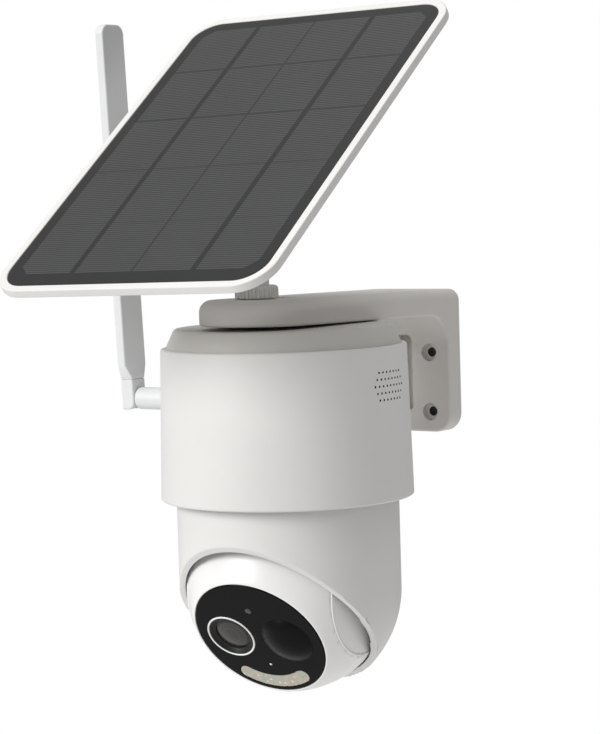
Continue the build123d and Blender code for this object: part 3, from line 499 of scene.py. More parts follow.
def makeBracket(size):
    end = -(size["reach"] + size["width"] / 2)
    past = end - 3  # the profile runs past the end, and the plan's shape cuts it back
    corner = arc((-size["thickness"] - size["inner"], size["under"] - size["inner"]), size["inner"], 0, 90, 10)
    points = [(-size["thickness"], size["low"]), (0, size["low"]), (0, size["top"]),
              (past, size["top"] + size["rise"]), (past, size["under"] + size["rise"])] + corner[::-1]
    obj = chain("bracketShell", [(y * mm, z * mm) for y, z in points], True)
    edit(obj)
    bpy.ops.mesh.select_all(action="SELECT")
    bpy.ops.mesh.edge_face_add()
    bpy.ops.mesh.extrude_region_move(TRANSFORM_OT_translate={"value": (0, size["width"] * mm, 0)})
    leave()
    outwards(obj)
    settle(obj, Matrix.Rotation(math.radians(90), 4, "Z") @ Matrix.Translation((0, -size["width"] / 2 * mm, 0)))
    edit(obj)
    low = size["low"] * mm
    choose(obj, "EDGE", lambda e: abs(along(e).y) > 0.99 and middle(e).z < low + 1e-5)
    bpy.ops.mesh.bevel(offset=size["foot"] * mm, segments=12, affect="EDGES")
    leave()
    # round the arm's end in plan, with a plate that starts well behind the wall
    behind = 40
    post = plate("armPlan", size["width"], behind - end, size["width"] / 2 - 0.44, 80, 40)
    settle(post, Matrix.Translation((0, (behind + end) / 2 * mm, 45 * mm)))
    modifier(obj, "BOOLEAN", operation="INTERSECT", solver="EXACT", object=post)
    bpy.data.objects.remove(post)
    edit(obj)
    high = (size["top"] - 1) * mm
    choose(obj, "EDGE", lambda e: len(e.link_faces) == 2 and middle(e).z > high and middle(e).y < -0.5 * mm
           and max(f.normal.z for f in e.link_faces) > 0.9 and min(f.normal.z for f in e.link_faces) < 0.3)
    bpy.ops.mesh.bevel(offset=size["edge"] * mm, segments=10, affect="EDGES")

    def isInner(face):
        # the plate's front, the inside curve and the arm's underside, but not the arm's rounded end
        spot, facing = face.calc_center_median(), face.normal
        turned = facing.z < -0.5 or (facing.y < -0.5 and spot.y > -30 * mm)
        return turned and abs(facing.x) < 0.05 and spot.y < -8 * mm and spot.z > -29.5 * mm
    choose(obj, "EDGE", lambda e: len(e.link_faces) == 2 and sum(isInner(f) for f in e.link_faces) == 1)
    bpy.ops.mesh.bevel(offset=size["innerEdge"] * mm, segments=5, affect="EDGES")
    leave()
    # cable recess and counterbored bolt holes
    cutterDepth = 10
    recess = plate("recess", size["recessWidth"], size["recessHeight"], 2, cutterDepth, 5)
    recessStart = size["recessDepth"] - size["thickness"] - cutterDepth
    settle(recess, Matrix.Translation((0, recessStart * mm, size["recessMiddle"] * mm))
           @ Matrix.Rotation(math.radians(90), 4, "X"))
    cut(obj, recess)
    half = size["bolts"] / 2
    for x in (-half, half):
        for z in (size["boltHeight"] - half, size["boltHeight"] + half):
            cut(obj, cylinder("boltHole", size["boltRadius"], 30, (x, -6, z), 32, (90, 0, 0)))
            mouth = (x, -size["thickness"], z)  # half of the counterbore's cutter stands outside the plate
            cut(obj, cylinder("counterbore", size["headRadius"], 2 * size["headDepth"], mouth, 40, (90, 0, 0)))
    cut(obj, cylinder("screwHole", size["screwHole"], 5, (0, -plan["reach"], 31.9), 40))
    cut(obj, cylinder("studHole", size["studHole"], 30, (0, -size["reach"], 30), 40))
    soften(obj, 0.55 * mm, 3, 40)
    return obj


bracketShell = piece(makeBracket(bracket), None, "housing", bracketGrey, ["wall_bracket"], 30)


def inBoltHole(face):
    spot = face.calc_center_median()
    half = bracket["bolts"] / 2 * mm
    across, above = abs(spot.x) - half, abs(spot.z - bracket["boltHeight"] * mm) - half
    return abs(face.normal.y) < 0.5 and math.hypot(across, above) < (bracket["boltRadius"] + 0.1) * mm


# the bolt holes' walls get the dark painted shade
paint(bracketShell, paintedHoleShade, inBoltHole)
print("bracket made")

# lock nut: a turned collar, its ridges pressed in by scaling every other pair of columns
nut = {"radius": 8.5, "bottom": 32.05, "height": 5.0, "bore": 5.3, "ridges": 32, "pressed": 0.93, "round": 1.6}


def makeNut(size):
    top = size["bottom"] + size["height"]
    profile = [(size["bore"], size["bottom"]), (size["radius"] - 0.3, size["bottom"]),
               (size["radius"], size["bottom"] + 0.4), (size["radius"], top - size["round"])]
    profile += arc((size["radius"] - size["round"], top - size["round"]), size["round"], 8, 90, 6)
    profile += [(size["bore"] + 0.3, top), (size["bore"], top - 0.3)]
    obj = lathe("lockNutGrip", profile, size["ridges"] * 4)
    edit(obj)

    def groove(vert):
        if vert.co.xy.length < (size["radius"] - 0.9) * mm:
            return False
        turn = math.degrees(math.atan2(vert.co.y, vert.co.x)) % (360 / size["ridges"])
        return turn < 180 / size["ridges"] - 0.5
    choose(obj, "VERT", groove)
    bpy.ops.transform.resize(value=(size["pressed"], size["pressed"], 1), center_override=(0, 0, 0))
    leave()
    return obj


atNut = Matrix.Translation((0, -bracket["reach"] * mm, 0))
piece(makeNut(nut), atNut, "lock_nut", jointGrey, ["lock_nut"], 28)

# top cap and shroud, turned about the pan axis
cap = {"top": 20.2, "bottom": 12.8, "topRadius": 43.5, "bottomRadius": 46.3, "skirt": 3.0, "edge": 1.6,
       "bore": 3.2, "skirtInner": 44.4, "roofInner": 41.5}
profile = [(cap["bore"], cap["top"] - 2), (cap["bore"], cap["top"] - 0.25), (cap["bore"] + 0.3, cap["top"])]
profile += arc((cap["topRadius"] - cap["edge"] + 0.1, cap["top"] - cap["edge"]), cap["edge"], 88, 22, 10)
profile += [(cap["bottomRadius"], cap["bottom"] + 0.4), (cap["bottomRadius"], cap["bottom"] - cap["skirt"]),
            (cap["skirtInner"], cap["bottom"] - cap["skirt"]), (cap["skirtInner"], cap["bottom"]),
            (cap["roofInner"], cap["top"] - 2)]
topCap = lathe("topCapShell", profile, 144)
piece(topCap, atPan, "housing", capGrey, ["top_cap"], 30)

shroud = {"top": 12.7, "bottom": -47.2, "topRadius": 48.6, "bottomRadius": 50.0, "wall": 2.0,
          "grilleRows": (7, 8, 9, 8, 7), "pitch": 2.4, "rowPitch": 2.65, "grilleHeight": -2.3, "grilleShift": 1.2,
          "holeRadius": 0.48, "lip": 1.0, "antennaHole": 4.7, "bayWidth": 30.0, "bayLength": 14.0, "bayHeight": -8.0}


def makeShroud(size):
    lip, inside = size["lip"], size["bottomRadius"] - size["wall"]
    profile = [(size["topRadius"] - size["wall"], size["top"])]
    profile += arc((size["topRadius"] - lip, size["top"] - lip), lip, 90, 2, 6)
    profile += arc((size["bottomRadius"] - lip, size["bottom"] + lip), lip, -2, -90, 6)
    profile += [(inside + 0.3, size["bottom"]), (inside, size["bottom"] + 0.3)]
    obj = lathe("shroudShell", profile, 160)
    hole = cylinder("grilleHole", size["holeRadius"], 12, (0, 0, 0), 14, (0, 90, 0))
    places = []
    for row, count in enumerate(size["grilleRows"]):
        height = size["grilleHeight"] + (2 - row) * size["rowPitch"]
        for index in range(count):
            across = (index - (count - 1) / 2) * size["pitch"] + size["grilleShift"]
            places.append(Matrix.Translation((inside * mm, across * mm, height * mm)))
    cut(obj, copies(hole, places))
    cut(obj, cylinder("antennaHole", size["antennaHole"], 14, (-inside, 0, plan["stubHeight"]), 48, (0, 90, 0)))
    bay = plate("bayHole", size["bayWidth"], size["bayLength"], 3, 20, 8)
    settle(bay, Matrix.Translation((0, 38 * mm, size["bayHeight"] * mm)) @ Matrix.Rotation(math.radians(90), 4, "X"))
    cut(obj, bay)
    return obj


upperShroud = piece(makeShroud(shroud), atPan, "housing", housingWhite, ["upper_shroud"], 30)


def inGrille(face):
    # the walls of the small holes, not the shell's own faces; they get the painted hole shade
    spot = face.calc_center_median() - Vector((0, -plan["reach"] * mm, 0))
    radius = spot.xy.length
    flat = Vector((spot.x, spot.y, 0)).normalized()
    near = spot.x > 0 and abs(spot.y) < 12 * mm and abs(spot.z - shroud["grilleHeight"] * mm) < 7 * mm
    return near and 46 * mm < radius < 49.9 * mm and abs(face.normal.dot(flat)) < 0.6


# the grille holes' walls get the dark painted shade
paint(upperShroud, paintedHoleShade, inGrille)
print("cap and shroud made")

# hood: a domed shell, sliced open at the front, its rim bridged and rolled
hood = {"radius": 44.0, "inner": 41.6, "top": -39.0, "cutAngle": 45.0, "cutDistance": 15.5, "rim": 0.55,
        "roof": 2.2, "bossRadius": 7.5, "bossLength": 6.0, "bossReach": 39.5}


def makeHood(size):
    ball, ceiling = plan["ballHeight"], size["top"] - size["roof"]
    outside = [(0, size["top"]), (size["radius"] - 1, size["top"]), (size["radius"], size["top"] - 1)]
    outside += arc((0, ball), size["radius"], 0, -90, 40)
    inside = [(0, ceiling), (size["inner"], ceiling)] + arc((0, ball), size["inner"], 0, -90, 40)
    obj = lathe("hoodShell", outside, 144, False)
    innerWall = lathe("hoodLining", inside, 144, False)
    edit(innerWall)
    bpy.ops.mesh.select_all(action="SELECT")
    bpy.ops.mesh.flip_normals()
    leave()
    join(obj, innerWall)
    angle = math.radians(size["cutAngle"])
    normal = Vector((0, -math.sin(angle), -math.cos(angle)))
    point = Vector((0, 0, ball * mm)) + normal * size["cutDistance"] * mm
    edit(obj)
    bpy.ops.mesh.select_all(action="SELECT")
    bpy.ops.mesh.bisect(plane_co=point, plane_no=normal, clear_outer=True)
    choose(obj, "EDGE", lambda e: e.is_boundary)
    bpy.ops.mesh.remove_doubles(threshold=0.5 * mm)
    choose(obj, "EDGE", lambda e: e.is_boundary)
    bpy.ops.mesh.bridge_edge_loops()
    choose(obj, "EDGE", lambda e: all(abs((v.co - point).dot(normal)) < 1e-6 for v in e.verts)
           and min(abs(f.normal.dot(normal)) for f in e.link_faces) < 0.95)
    bpy.ops.mesh.bevel(offset=size["rim"] * mm, segments=5, affect="EDGES")
    leave()
    join(obj, *[cylinder("pivotBoss", size["bossRadius"], size["bossLength"], (side * size["bossReach"], 0, ball), 48,
                         (0, 90, 0)) for side in (-1, 1)])
    return obj


piece(makeHood(hood), atYoke, "yoke", housingWhite, ["yoke_hood"], 34)
print("hood made")

# ball: two half shells sliced flat at the cheeks, with a cover on each
ballSize = {"radius": 41.0, "wall": 2.0, "cheek": 32.4, "faceDistance": 29.4, "faceRadius": 27.88, "seat": 27.0,
            "opening": 25.4, "seatBack": 24.8, "ledge": 29.0, "round": 0.35}


def sliceCheeks(obj, distance):
    for side in (-1, 1):
        edit(obj)
        bpy.ops.mesh.select_all(action="SELECT")
        bpy.ops.mesh.bisect(plane_co=(side * distance * mm, 0, 0), plane_no=(side, 0, 0), clear_outer=True,
                            use_fill=True)
        leave()
    return obj


def makeFrontShell(size):
    outer, inner = size["radius"], size["radius"] - size["wall"]
    rimHeight, opening = size["faceDistance"] - size["round"], size["opening"]
    profile = arc((0, 0), outer, 0, math.degrees(math.asin(rimHeight / outer)), 24)
    profile += arc((size["faceRadius"] + size["round"], rimHeight), size["round"], 60, 180, 5)
    profile += [(size["faceRadius"], size["seat"]), (opening, size["seat"]), (opening, size["seatBack"]),
                (size["ledge"], size["seatBack"])]
    profile += arc((0, 0), inner, math.degrees(math.acos(size["ledge"] / inner)), 0, 24)
    return sliceCheeks(lathe("ballFrontShell", profile, 144), size["cheek"])


def makeRearShell(size):
    outer, inner = size["radius"], size["radius"] - size["wall"]
    profile = arc((0, 0), outer, -90, 0, 40) + arc((0, 0), inner, 0, -90, 40)
    return sliceCheeks(lathe("ballRearShell", profile, 144, False), size["cheek"])


def roundCheeks(obj, size):
    # only the outer edge of each flat cheek is rounded, so the two shells meet flush
    edit(obj)
    choose(obj, "EDGE", lambda e: all(abs(abs(v.co.x) - size["cheek"] * mm) < 1e-6 and v.co.length > 40.5 * mm
                                      for v in e.verts))
    bpy.ops.mesh.bevel(offset=0.5 * mm, segments=4, affect="EDGES")
    leave()


frontShell = makeFrontShell(ballSize)
roundCheeks(frontShell, ballSize)
piece(frontShell, atHead, "head", ballWhite, ["ball_front_shell"])
rearShell = makeRearShell(ballSize)
roundCheeks(rearShell, ballSize)
piece(rearShell, atHead, "head", ballWhite, ["ball_rear_shell"])

# cheek covers: shallow domes, each with a thin raised lip round its edge
cheek = {"low": 32.45, "high": 35.6, "rim": 24.9, "leftBore": 5.0, "rightBore": 3.0}
for side, sideName in ((-1, "left"), (1, "right")):
    low, high, rimRadius, bore = cheek["low"], cheek["high"], cheek["rim"], cheek[sideName + "Bore"]
    rise = high - low
    dome = (rimRadius ** 2 + rise ** 2) / (2 * rise)
    lip = [(rimRadius, low), (rimRadius, low + 0.25), (rimRadius - 0.15, low + 0.5), (rimRadius - 0.45, low + 0.6),
           (rimRadius - 0.75, low + 0.5), (rimRadius - 0.95, low + 0.35)]
    first = math.degrees(math.acos((rimRadius - 1.1) / dome))
    last = math.degrees(math.acos(bore / dome))
    profile = [(bore, low)] + lip + arc((0, high - dome), dome, first, last, 20)
    cover = lathe(sideName + "CheekCover", profile, 96)
    turn = Matrix.Rotation(math.radians(90 * side), 4, "Y")
    piece(cover, atHead @ turn, "head", ballWhite, ["cheek_cover_" + sideName])
print("ball made")

# face: a glossy disc with its openings, and what sits in them
faceSize = {"radius": 27.8, "back": 27.0, "front": 29.6, "round": 0.6, "lensX": -13.0, "lensHole": 10.35,
            "domeX": 12.5, "domeHole": 10.2, "sensorY": 14.4, "sensorHole": 1.3, "micY": -13.9, "micHole": 0.7,
            "windowInner": 19.7, "windowOuter": 26.15, "windowHalf": 33.2}


def makeFace(size):
    edge, top, depth = size["round"], size["front"], 8
    profile = [(0, size["back"]), (size["radius"], size["back"])]
    profile += arc((size["radius"] - edge, top - edge), edge, 0, 90, 6) + [(0, top)]
    obj = lathe("facePlate", profile, 144, False)
    for hole, x, y, sides in (("lensHole", size["lensX"], 0, 96), ("domeHole", size["domeX"], 0, 96),
                              ("sensorHole", 0, size["sensorY"], 32), ("micHole", 0, size["micY"], 24)):
        cut(obj, cylinder(hole, size[hole], depth, (x, y, top), sides))
    window = bandShape("windowHole", size, 0, depth)
    settle(window, Matrix.Translation((0, 0, (top - depth / 2) * mm)))
    cut(obj, window)
    soften(obj, 0.22 * mm, 3, 50)
    return obj


piece(makeFace(faceSize), atHead, "head", faceBlack, ["face_plate"], 40)

front = faceSize["front"]
atLens = atHead @ Matrix.Translation((faceSize["lensX"] * mm, 0, 0))
ring = {"inner": 9.46, "outer": 10.3, "round": 0.42}
profile = [(ring["inner"], faceSize["back"]), (ring["outer"], faceSize["back"])]
profile += arc((ring["outer"] - ring["round"], front - 0.1), ring["round"], 0, 180, 10)
piece(lathe("lensRing", profile, 96), atLens, "head", ringWhite, ["lens_ring"])

# barrel: its front steps down to the glass
barrel = {"bore": 5.5, "radius": 9.4, "back": 11.9, "seat": 7.3, "seatDepth": 2.6, "steps": (
    (9.2, 0.15), (8.9, 0), (8.75, -0.35), (8.45, -0.4), (8.25, -0.75), (7.95, -0.8), (7.75, -1.1), (7.45, -1.15))}
profile = [(barrel["bore"], barrel["back"]), (barrel["radius"], barrel["back"]), (barrel["radius"], front + 0.1)]
profile += [(radius, front + rise) for radius, rise in barrel["steps"]]
profile += [(barrel["seat"], front - 1.2), (barrel["seat"], front - barrel["seatDepth"]),
            (barrel["bore"], front - barrel["seatDepth"])]
piece(lathe("lensBarrel", profile, 96), atLens, "head", barrelBlack, ["lens_barrel"], 20)


def domeArc(radius, base, height, count):
    # a shallow dome's edge to its top
    sphere = (radius ** 2 + height ** 2) / (2 * height)
    start = math.degrees(math.acos(radius / sphere))
    return arc((0, base + height - sphere), sphere, start, 90, count)


lens = {"radius": 7.2, "back": 2.5, "edge": 1.5, "bulge": 1.1}


def makeLensFinish():
    # coated glass: rings of slightly different dark greys, by distance from the lens axis
    finish = Finish("lensGlass", {"Roughness": 0.05, "Specular IOR Level": 0.25, "Coat Weight": 0.25,
                                  "Coat Roughness": 0.02, "IOR": 1.5})
    centre = atLens @ Vector((0, 0, front * mm))
    turn = atLens.to_3x3().to_euler("XYZ")
    x, y, z = finish.local(tuple(centre), tuple(turn)).parts()
    distance = (x * x + y * y).root() * 1000
    ramp = finish.add("ShaderNodeValToRGB", {"stops": [
        (0.0, (0.040, 0.036, 0.033)), (0.42, (0.046, 0.042, 0.038)), (0.48, (0.060, 0.055, 0.050)),
        (0.56, (0.045, 0.041, 0.037)), (0.84, (0.052, 0.048, 0.044)), (0.90, (0.020, 0.019, 0.018)),
        (1.0, (0.012, 0.012, 0.012))]}, {"Fac": distance / lens["radius"]})
    finish.set("Base Color", ramp)
    return finish.material


profile = [(0, front - lens["back"]), (lens["radius"], front - lens["back"]), (lens["radius"], front - lens["edge"])]
profile += domeArc(lens["radius"], front - lens["edge"], lens["bulge"], 14)[1:]
piece(lathe("lensGlass", profile, 96, False), atLens, "head", makeLensFinish(), ["lens_glass"])

atDome = atHead @ Matrix.Translation((faceSize["domeX"] * mm, 0, 0))
motion = {"stem": 10.1, "back": 27.2, "radius": 10.8, "height": 4.2, "edge": front + 0.05}
profile = [(0, motion["back"]), (motion["stem"], motion["back"]), (motion["stem"], motion["edge"]),
           (motion["radius"], motion["edge"])]
profile += domeArc(motion["radius"], motion["edge"], motion["height"], 24)[1:]
domeBlack = glossPlastic("domeBlack", (0.005, 0.005, 0.006), 0.26, 0.1)
piece(lathe("motionDome", profile, 96, False), atDome, "head", domeBlack, ["motion_dome"])

# light sensor's small dome, and a small pale disc in the microphone hole
sensor = {"stem": 1.25, "back": 1.6, "radius": 1.2, "height": 0.45}
profile = [(0, front - sensor["back"]), (sensor["stem"], front - sensor["back"]), (sensor["stem"], front)]
profile += domeArc(sensor["radius"], front, sensor["height"], 8)[1:]
sensorLens = lathe("sensorLens", profile, 48, False)
piece(sensorLens, atHead @ Matrix.Translation((0, faceSize["sensorY"] * mm, 0)), "head",
      glossPlastic("sensorGlass", (0.05, 0.05, 0.055), 0.08, 0.6), ["light_sensor"])
mesh = {"radius": 0.66, "back": 1.2}
profile = [(0, front - mesh["back"]), (mesh["radius"], front - mesh["back"]), (mesh["radius"], front - 0.25),
           (0.5, front - 0.15), (0, front - 0.1)]
# a pale disc just below the face, so the microphone hole shows a bright dot
micDot = lathe("microphoneDot", profile, 32, False)
piece(micDot, atHead @ Matrix.Translation((0, faceSize["micY"] * mm, 0)), "head", ringWhite, [])
print("face and lens made")


def makeWindow(size):
    obj = bandShape("lampWindow", size, 0.05, 2.4)
    soften(obj, 0.5 * mm, 4, 40)
    return obj


def makeLampFinish():
    # half-clear cover over diodes: cream, with bright specks of painted sparkle highlight and a few pale green
    # patches
    finish = Finish("lampClear", {"Transmission Weight": 0.3, "IOR": 1.45, "Coat Weight": 0.5})
    paintedSparkle = finish.add("ShaderNodeTexVoronoi", {}, {"Vector": finish.place(), "Scale": 400, "Randomness": 0.9})
    fine = finish.noise(900, 3)
    cream = finish.mix(finish.noise(260, 3) > 0.52, (0.64, 0.57, 0.46), (0.55, 0.585, 0.49))
    # the white specks are painted highlights, the diodes' sparkle put into the colour; the same pattern also gives
    # the bump
    finish.set("Base Color", finish.mix(finish.spread(paintedSparkle + fine * 0.2, 0.2, 0.36, 1, 0), cream, (1, 1, 0.97)))
    finish.set("Roughness", finish.spread(fine, 0.3, 0.7, 0.08, 0.3))
    finish.set("Normal", finish.bump(paintedSparkle + fine * 0.3, 0.55, 0.0006))
    return finish.material


piece(makeWindow(faceSize), atHead @ Matrix.Translation((0, 0, 27.05 * mm)), "head", makeLampFinish(),
      ["lamp_window"])

# solar panel: a rimmed tray, the laminate in it, and a shallow back
panelSize = {"width": 124.1, "length": 178.4, "corner": 14.3, "border": 3.3, "lip": 0.3, "thickness": 3.2,
             "tray": 2.35, "backDepth": 5.0, "backMargin": 0.8, "backInset": 6.2, "foot": 19.0}


def makeRim(size):
    obj = plate("panelRim", size["width"], size["length"], size["corner"], size["thickness"] + size["lip"], 14)
    settle(obj, Matrix.Translation((0, 0, size["lip"] * mm)))
    edit(obj)
    choose(obj, "FACE", lambda f: f.normal.z > 0.9)
    bpy.ops.mesh.inset(thickness=size["border"] * mm)
    bpy.ops.mesh.extrude_region_move(TRANSFORM_OT_translate={"value": (0, 0, -size["tray"] * mm)})
    leave()
    soften(obj, 0.5 * mm, 4, 50)
    return obj


def makePanelBack(size):
    margin = size["backMargin"]
    obj = plate("panelBack", size["width"] - 2 * margin, size["length"] - 2 * margin, size["corner"] - margin,
                size["backDepth"], 14)
    edit(obj)
    choose(obj, "FACE", lambda f: f.normal.z < -0.9)
    shrink = size["backInset"] * 2
    bpy.ops.transform.resize(value=(1 - shrink / size["width"], 1 - shrink / size["length"], 1),
                             center_override=(0, 0, 0))
    leave()
    soften(obj, 1.2 * mm, 5, 25)
    foot = cylinder("jointFoot", size["foot"], 2.2, (0, 0, -size["backDepth"] - 0.5), 96)
    soften(foot, 0.5 * mm, 3, 40)
    return join(obj, foot)


piece(makeRim(panelSize), atPanel, "panel", housingWhite, ["panel_frame"], 30)
atBack = atPanel @ Matrix.Translation((0, 0, -panelSize["thickness"] * mm))
piece(makePanelBack(panelSize), atBack, "panel", housingWhite, ["panel_back"], 30)

cells = {"width": 117.4, "length": 171.7, "corner": 11.0, "thickness": 1.95, "column": 27.4, "row": 33.4,
         "halfX": 53.6, "halfY": 79.8, "shift": 0.9, "chamfer": 4.5, "wideGap": 1.25, "thinGap": 0.5, "rowGap": 0.3,
         "fingerPitch": 1.2, "finger": 0.3, "dark": (0.012, 0.0125, 0.0135)}


def makeSolarFinish(size):
    # four columns of five cells: wide gaps, thin cross lines, and fine silver fingers across each column
    finish = Finish("solarLaminate", {"Coat Weight": 0.1, "Coat Roughness": 0.25, "Specular IOR Level": 0.36})
    x, y, z = finish.local([c * mm for c in slope["centre"]], slopeTurn.to_euler("XYZ")[:]).parts()
    x, y = x * 1000, y * 1000 - size["shift"]
    column, row, halfX, halfY = size["column"], size["row"], size["halfX"], size["halfY"]
    inX = (x + column * 4).wrap(0, column) - column / 2
    inY = (y + row * 4.5).wrap(0, row) - row / 2
    edgeX = column / 2 - inX.size()
    edgeY = row / 2 - inY.size()
    inside = (x.size() < halfX) * (y.size() < halfY) * (x.size() + y.size() < halfX + halfY - size["chamfer"])
    wide = (edgeX < size["wideGap"]) * (x.size() > 5)  # every column gap but the middle one
    thin = ((edgeX < size["thinGap"]) * (x.size() < 5)).larger(edgeY < size["rowGap"])
    finger = ((y + 400).wrap(0, size["fingerPitch"]) < size["finger"]) * (1 - wide) * inside
    cloud = finish.noise(26, 4)
    silicon = finish.mix(cloud, (0.023, 0.0235, 0.025), (0.031, 0.0315, 0.033))
    lined = finish.mix(finger * 0.75, silicon, (0.105, 0.107, 0.11))
    gaps = finish.mix(thin * inside, lined, (0.018, 0.019, 0.021))
    gaps = finish.mix(wide * inside, gaps, size["dark"])
    finish.set("Base Color", finish.mix(1 - inside, gaps, size["dark"]))
    finish.set("Roughness", finish.spread(cloud + finish.noise(300, 3) * 0.5, 0.4, 1.1, 0.36, 0.5))
    finish.set("Normal", finish.bump(finish.noise(700, 3) + finger * 0.4, 0.05, 0.0002))
    return finish.material


laminate = plate("solarLaminate", cells["width"], cells["length"], cells["corner"], cells["thickness"], 14)
soften(laminate, 0.25 * mm, 2, 40)
piece(laminate, atPanel, "panel", makeSolarFinish(cells), ["solar_laminate"], 30)

# socket under the panel: a cup that widens to a flange
cup = {"bore": 9.6, "low": -28.3, "high": -9.9, "flange": 16.0, "round": 0.8}
profile = [(cup["bore"], -25.2), (11.6, cup["low"]), (12.0, cup["low"])]
profile += arc((11.6, cup["low"] + cup["round"]), cup["round"], -70, 0, 4)
profile += [(12.4, -13.2), (12.8, -12.6), (15.2, -12.2), (cup["flange"], -11.6), (cup["flange"], cup["high"]),
            (cup["bore"], cup["high"])]
socket = lathe("ballSocket", profile, 96)
piece(socket, atPanel, "panel", jointGrey, ["ball_socket"], 30)
print("panel made")

# antenna: a flat blade drawn down to a forked knuckle, on a stub with a tongue
antenna = {"pinX": -76.3, "pinZ": -11.3, "lean": 2.5, "top": 154.5, "shoulder": 14.9, "width": 13.8, "thickness": 4.2,
           "corner": 4.0, "neck": 5.2, "knuckleWidth": 6.2, "knuckleDepth": 8.5, "knuckleBottom": 3.4, "fork": 3.3,
           "slotTop": 4.3, "seam": 0.35, "seamTop": 9.2, "stub": 4.55, "stubStart": 50.5, "stubEnd": 72.8}
atPin = Matrix.Translation((antenna["pinX"] * mm, -plan["reach"] * mm, antenna["pinZ"] * mm))
atBlade = atPin @ Matrix.Rotation(math.radians(-antenna["lean"]), 4, "Y")


def makeBlade(size):
    # the blade starts as a cube, its foot faces pulled down and drawn in
    deselectAll()
    height = size["top"] - size["shoulder"]
    bpy.ops.mesh.primitive_cube_add(size=1, location=(0, 0, (size["shoulder"] + height / 2) * mm))
    obj = bpy.context.object
    obj.name = "antennaBlade"
    obj.scale = (size["thickness"] * mm, size["width"] * mm, height * mm)
    settle(obj)
    edit(obj)
    choose(obj, "EDGE", lambda e: abs(along(e).x) > 0.99 and middle(e).z > 100 * mm)
    bpy.ops.mesh.bevel(offset=size["corner"] * mm, segments=10, affect="EDGES")
    choose(obj, "FACE", lambda f: f.normal.z < -0.99)
    bpy.ops.mesh.extrude_region_move(TRANSFORM_OT_translate={"value": (0, 0, -size["neck"] * mm)})
    narrow = (size["knuckleWidth"] / size["thickness"], size["knuckleDepth"] / size["width"], 1)
    bpy.ops.transform.resize(value=narrow, center_override=(0, 0, 0))
    drop = size["shoulder"] - size["neck"] + size["knuckleBottom"]
    bpy.ops.mesh.extrude_region_move(TRANSFORM_OT_translate={"value": (0, 0, -drop * mm)})
    choose(obj, "EDGE", lambda e: abs(along(e).y) > 0.99 and middle(e).z < 0 and middle(e).x > 0)
    bpy.ops.mesh.bevel(offset=(size["knuckleWidth"] / 2 - 0.15) * mm, segments=8, affect="EDGES")
    leave()
    slot = plate("forkSlot", size["knuckleWidth"] + 6, size["fork"], 0.3, 7.8, 2)
    settle(slot, Matrix.Translation((0, 0, size["slotTop"] * mm)))
    cut(obj, slot)
    soften(obj, 0.75 * mm, 4, 40)
    # a thin seam line at the knee: a frame of plate cut round the core
    seam = plate("kneeSeam", size["knuckleWidth"] + 3, size["knuckleDepth"] + 3, 1, size["seam"], 3)
    core = plate("kneeCore", size["knuckleWidth"] - 0.7, size["knuckleDepth"] - 0.7, 0.7, 2, 4)
    settle(core, Matrix.Translation((0, 0, mm)))
    cut(seam, core)
    settle(seam, Matrix.Translation((0, 0, size["seamTop"] * mm)))
    cut(obj, seam)
    return obj


piece(makeBlade(antenna), atBlade, "antenna_blade", antennaWhite, ["antenna_blade"], 30)


def makeElbow(size):
    radius, start, end = size["stub"], size["stubStart"], size["stubEnd"]
    profile = [(0, start), (3.6, start), (4.25, start + 0.3), (radius, start + 0.9), (radius, end - 0.9)]
    profile += arc((radius - 0.8, end - 0.8), 0.8, 0, 90, 4) + [(0, end)]
    obj = lathe("antennaElbow", profile, 72, False)
    settle(obj, Matrix.Translation((0, 0, plan["stubHeight"] * mm)) @ Matrix.Rotation(math.radians(-90), 4, "Y"))
    # the tongue starts 3 mm past the pin and ends inside the stub
    deselectAll()
    length = -size["pinX"] - 72
    place = (size["pinX"] * mm + (length - 3) / 2 * mm, 0, size["pinZ"] * mm)
    bpy.ops.mesh.primitive_cube_add(size=1, location=place)
    tongue = bpy.context.object
    tongue.scale = ((length + 3) * mm, (size["fork"] - 0.3) * mm, 5.9 * mm)
    settle(tongue)
    edit(tongue)
    far = min(v.co.x for v in tongue.data.vertices)
    choose(tongue, "EDGE", lambda e: abs(along(e).y) > 0.99 and middle(e).x < far + 1e-5)
    bpy.ops.mesh.bevel(offset=2.9 * mm, segments=8, affect="EDGES")
    leave()
    return join(obj, tongue)


piece(makeElbow(antenna), atPan, "antenna_elbow", antennaWhite, ["antenna_elbow"], 30)
print("antenna made")

# finishes on the nodes that keep their own shape
nodeFinish = {
    "mounting_screw": screwSteel, "mounting_pad": blackRubber, "threaded_insert": brass, "base_plate": housingWhite,
    "base_screws": screwSteel, "battery_tray": innerBlack, "battery_cells": cellWrap, "main_board": boardGreen,
    "speaker": innerBlack, "pan_motor": motorSteel, "antenna_socket": brass, "antenna_nut": brass,
    "service_bezel": capGrey, "usb_port": motorSteel, "service_flap": whiteRubber, "power_button": blackRubber,
    "reset_button": blackRubber, "pan_pinion": gearNylon, "pan_gear": gearNylon, "gear_screws": screwSteel,
    "pan_retainer": motorSteel, "tilt_bush_right": brass, "tilt_gear": gearNylon, "tilt_bush_left": brass,
    "tilt_axle_right": motorSteel, "image_board": boardGreen, "motion_sensor": motorSteel, "lamp_board": lampDiodes,
    "microphone": motorSteel, "tilt_motor": motorSteel, "tilt_pinion": gearNylon,
    "panel_stud": jointGrey, "cable_gland": blackRubber, "antenna_pin": screwSteel}
for name, material in nodeFinish.items():
    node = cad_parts[name]
    node.data.materials.clear()
    node.data.materials.append(material)
print("nodes finished")

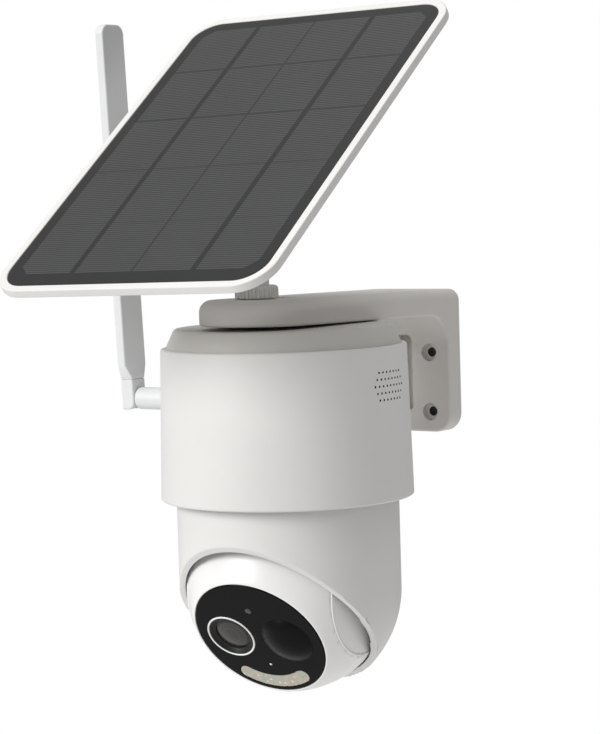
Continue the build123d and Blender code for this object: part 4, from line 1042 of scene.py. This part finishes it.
# floor, camera and light
studio = {"floorRadius": 1.25, "floorPlace": (0, -0.09, -0.45), "floorColour": (0.78, 0.78, 0.78),
          "ambient": 0.38, "ambientColour": (1.0, 0.985, 0.97, 1), "backdrop": 1.0}
deselectAll()
bpy.ops.mesh.primitive_circle_add(vertices=160, radius=studio["floorRadius"], fill_type="NGON",
                                  location=studio["floorPlace"])
floor = bpy.context.object
floor.name = "studioFloor"
floorFinish = Finish("floorPaper", {"Base Color": studio["floorColour"], "Roughness": 0.9, "Specular IOR Level": 0.1})
floor.data.materials.append(floorFinish.material)

shot = {"azimuth": 34.935, "elevation": 4.16, "roll": 1.668, "aim": (0, -0.0861, 0.0031), "distance": 0.9599,
        "lens": 118.3}


def makeCamera(size):
    azimuth, elevation = math.radians(size["azimuth"]), math.radians(size["elevation"])
    roll = math.radians(size["roll"])
    back = Vector((math.sin(azimuth) * math.cos(elevation), -math.cos(azimuth) * math.cos(elevation),
                   math.sin(elevation)))
    level = Vector((math.cos(azimuth), math.sin(azimuth), 0))
    above = back.cross(level)
    right = level * math.cos(roll) - above * math.sin(roll)
    upward = level * math.sin(roll) + above * math.cos(roll)
    deselectAll()
    bpy.ops.object.camera_add()
    camera = bpy.context.object
    camera.name = "shotCamera"
    camera.matrix_world = Matrix((right, upward, back)).transposed().to_4x4()
    camera.location = Vector(size["aim"]) + back * size["distance"]
    camera.data.lens = size["lens"]
    camera.data.sensor_width = 36
    camera.data.clip_start = 0.01
    camera.data.clip_end = 50
    bpy.context.scene.camera = camera
    return right, back


right, back = makeCamera(shot)


def addSun(name, direction, strength, spread, colour):
    deselectAll()
    bpy.ops.object.light_add(type="SUN")
    lamp = bpy.context.object
    lamp.name = name
    lamp.rotation_mode = "QUATERNION"
    lamp.rotation_quaternion = direction.to_track_quat("Z", "Y")
    lamp.data.energy = strength
    lamp.data.angle = math.radians(spread)
    lamp.data.color = colour


# a broad key light from the left, the camera's side and above, and a softer one from straight above
addSun("keyLight", -0.87 * right + 0.5 * back + 0.36 * up, 2.3, 30, (1.0, 0.995, 0.985))
addSun("topLight", up, 1.2, 60, (1.0, 1.0, 1.0))

# white behind the object for the camera only, and a dimmer, warmer light on the object
world = bpy.data.worlds.new("studio")
bpy.context.scene.world = world
world.use_nodes = True
nodes, links = world.node_tree.nodes, world.node_tree.links
ambient = nodes["Background"]
ambient.inputs["Color"].default_value = studio["ambientColour"]
ambient.inputs["Strength"].default_value = studio["ambient"]
backdrop = nodes.new("ShaderNodeBackground")
backdrop.inputs["Color"].default_value = (1, 1, 1, 1)
backdrop.inputs["Strength"].default_value = studio["backdrop"]
rays = nodes.new("ShaderNodeLightPath")
mixer = nodes.new("ShaderNodeMixShader")
links.new(rays.outputs["Is Camera Ray"], mixer.inputs[0])
links.new(ambient.outputs[0], mixer.inputs[1])
links.new(backdrop.outputs[0], mixer.inputs[2])
links.new(mixer.outputs[0], nodes["World Output"].inputs["Surface"])
bpy.context.scene.view_settings.view_transform = "Standard"
bpy.context.scene.view_settings.look = "None"
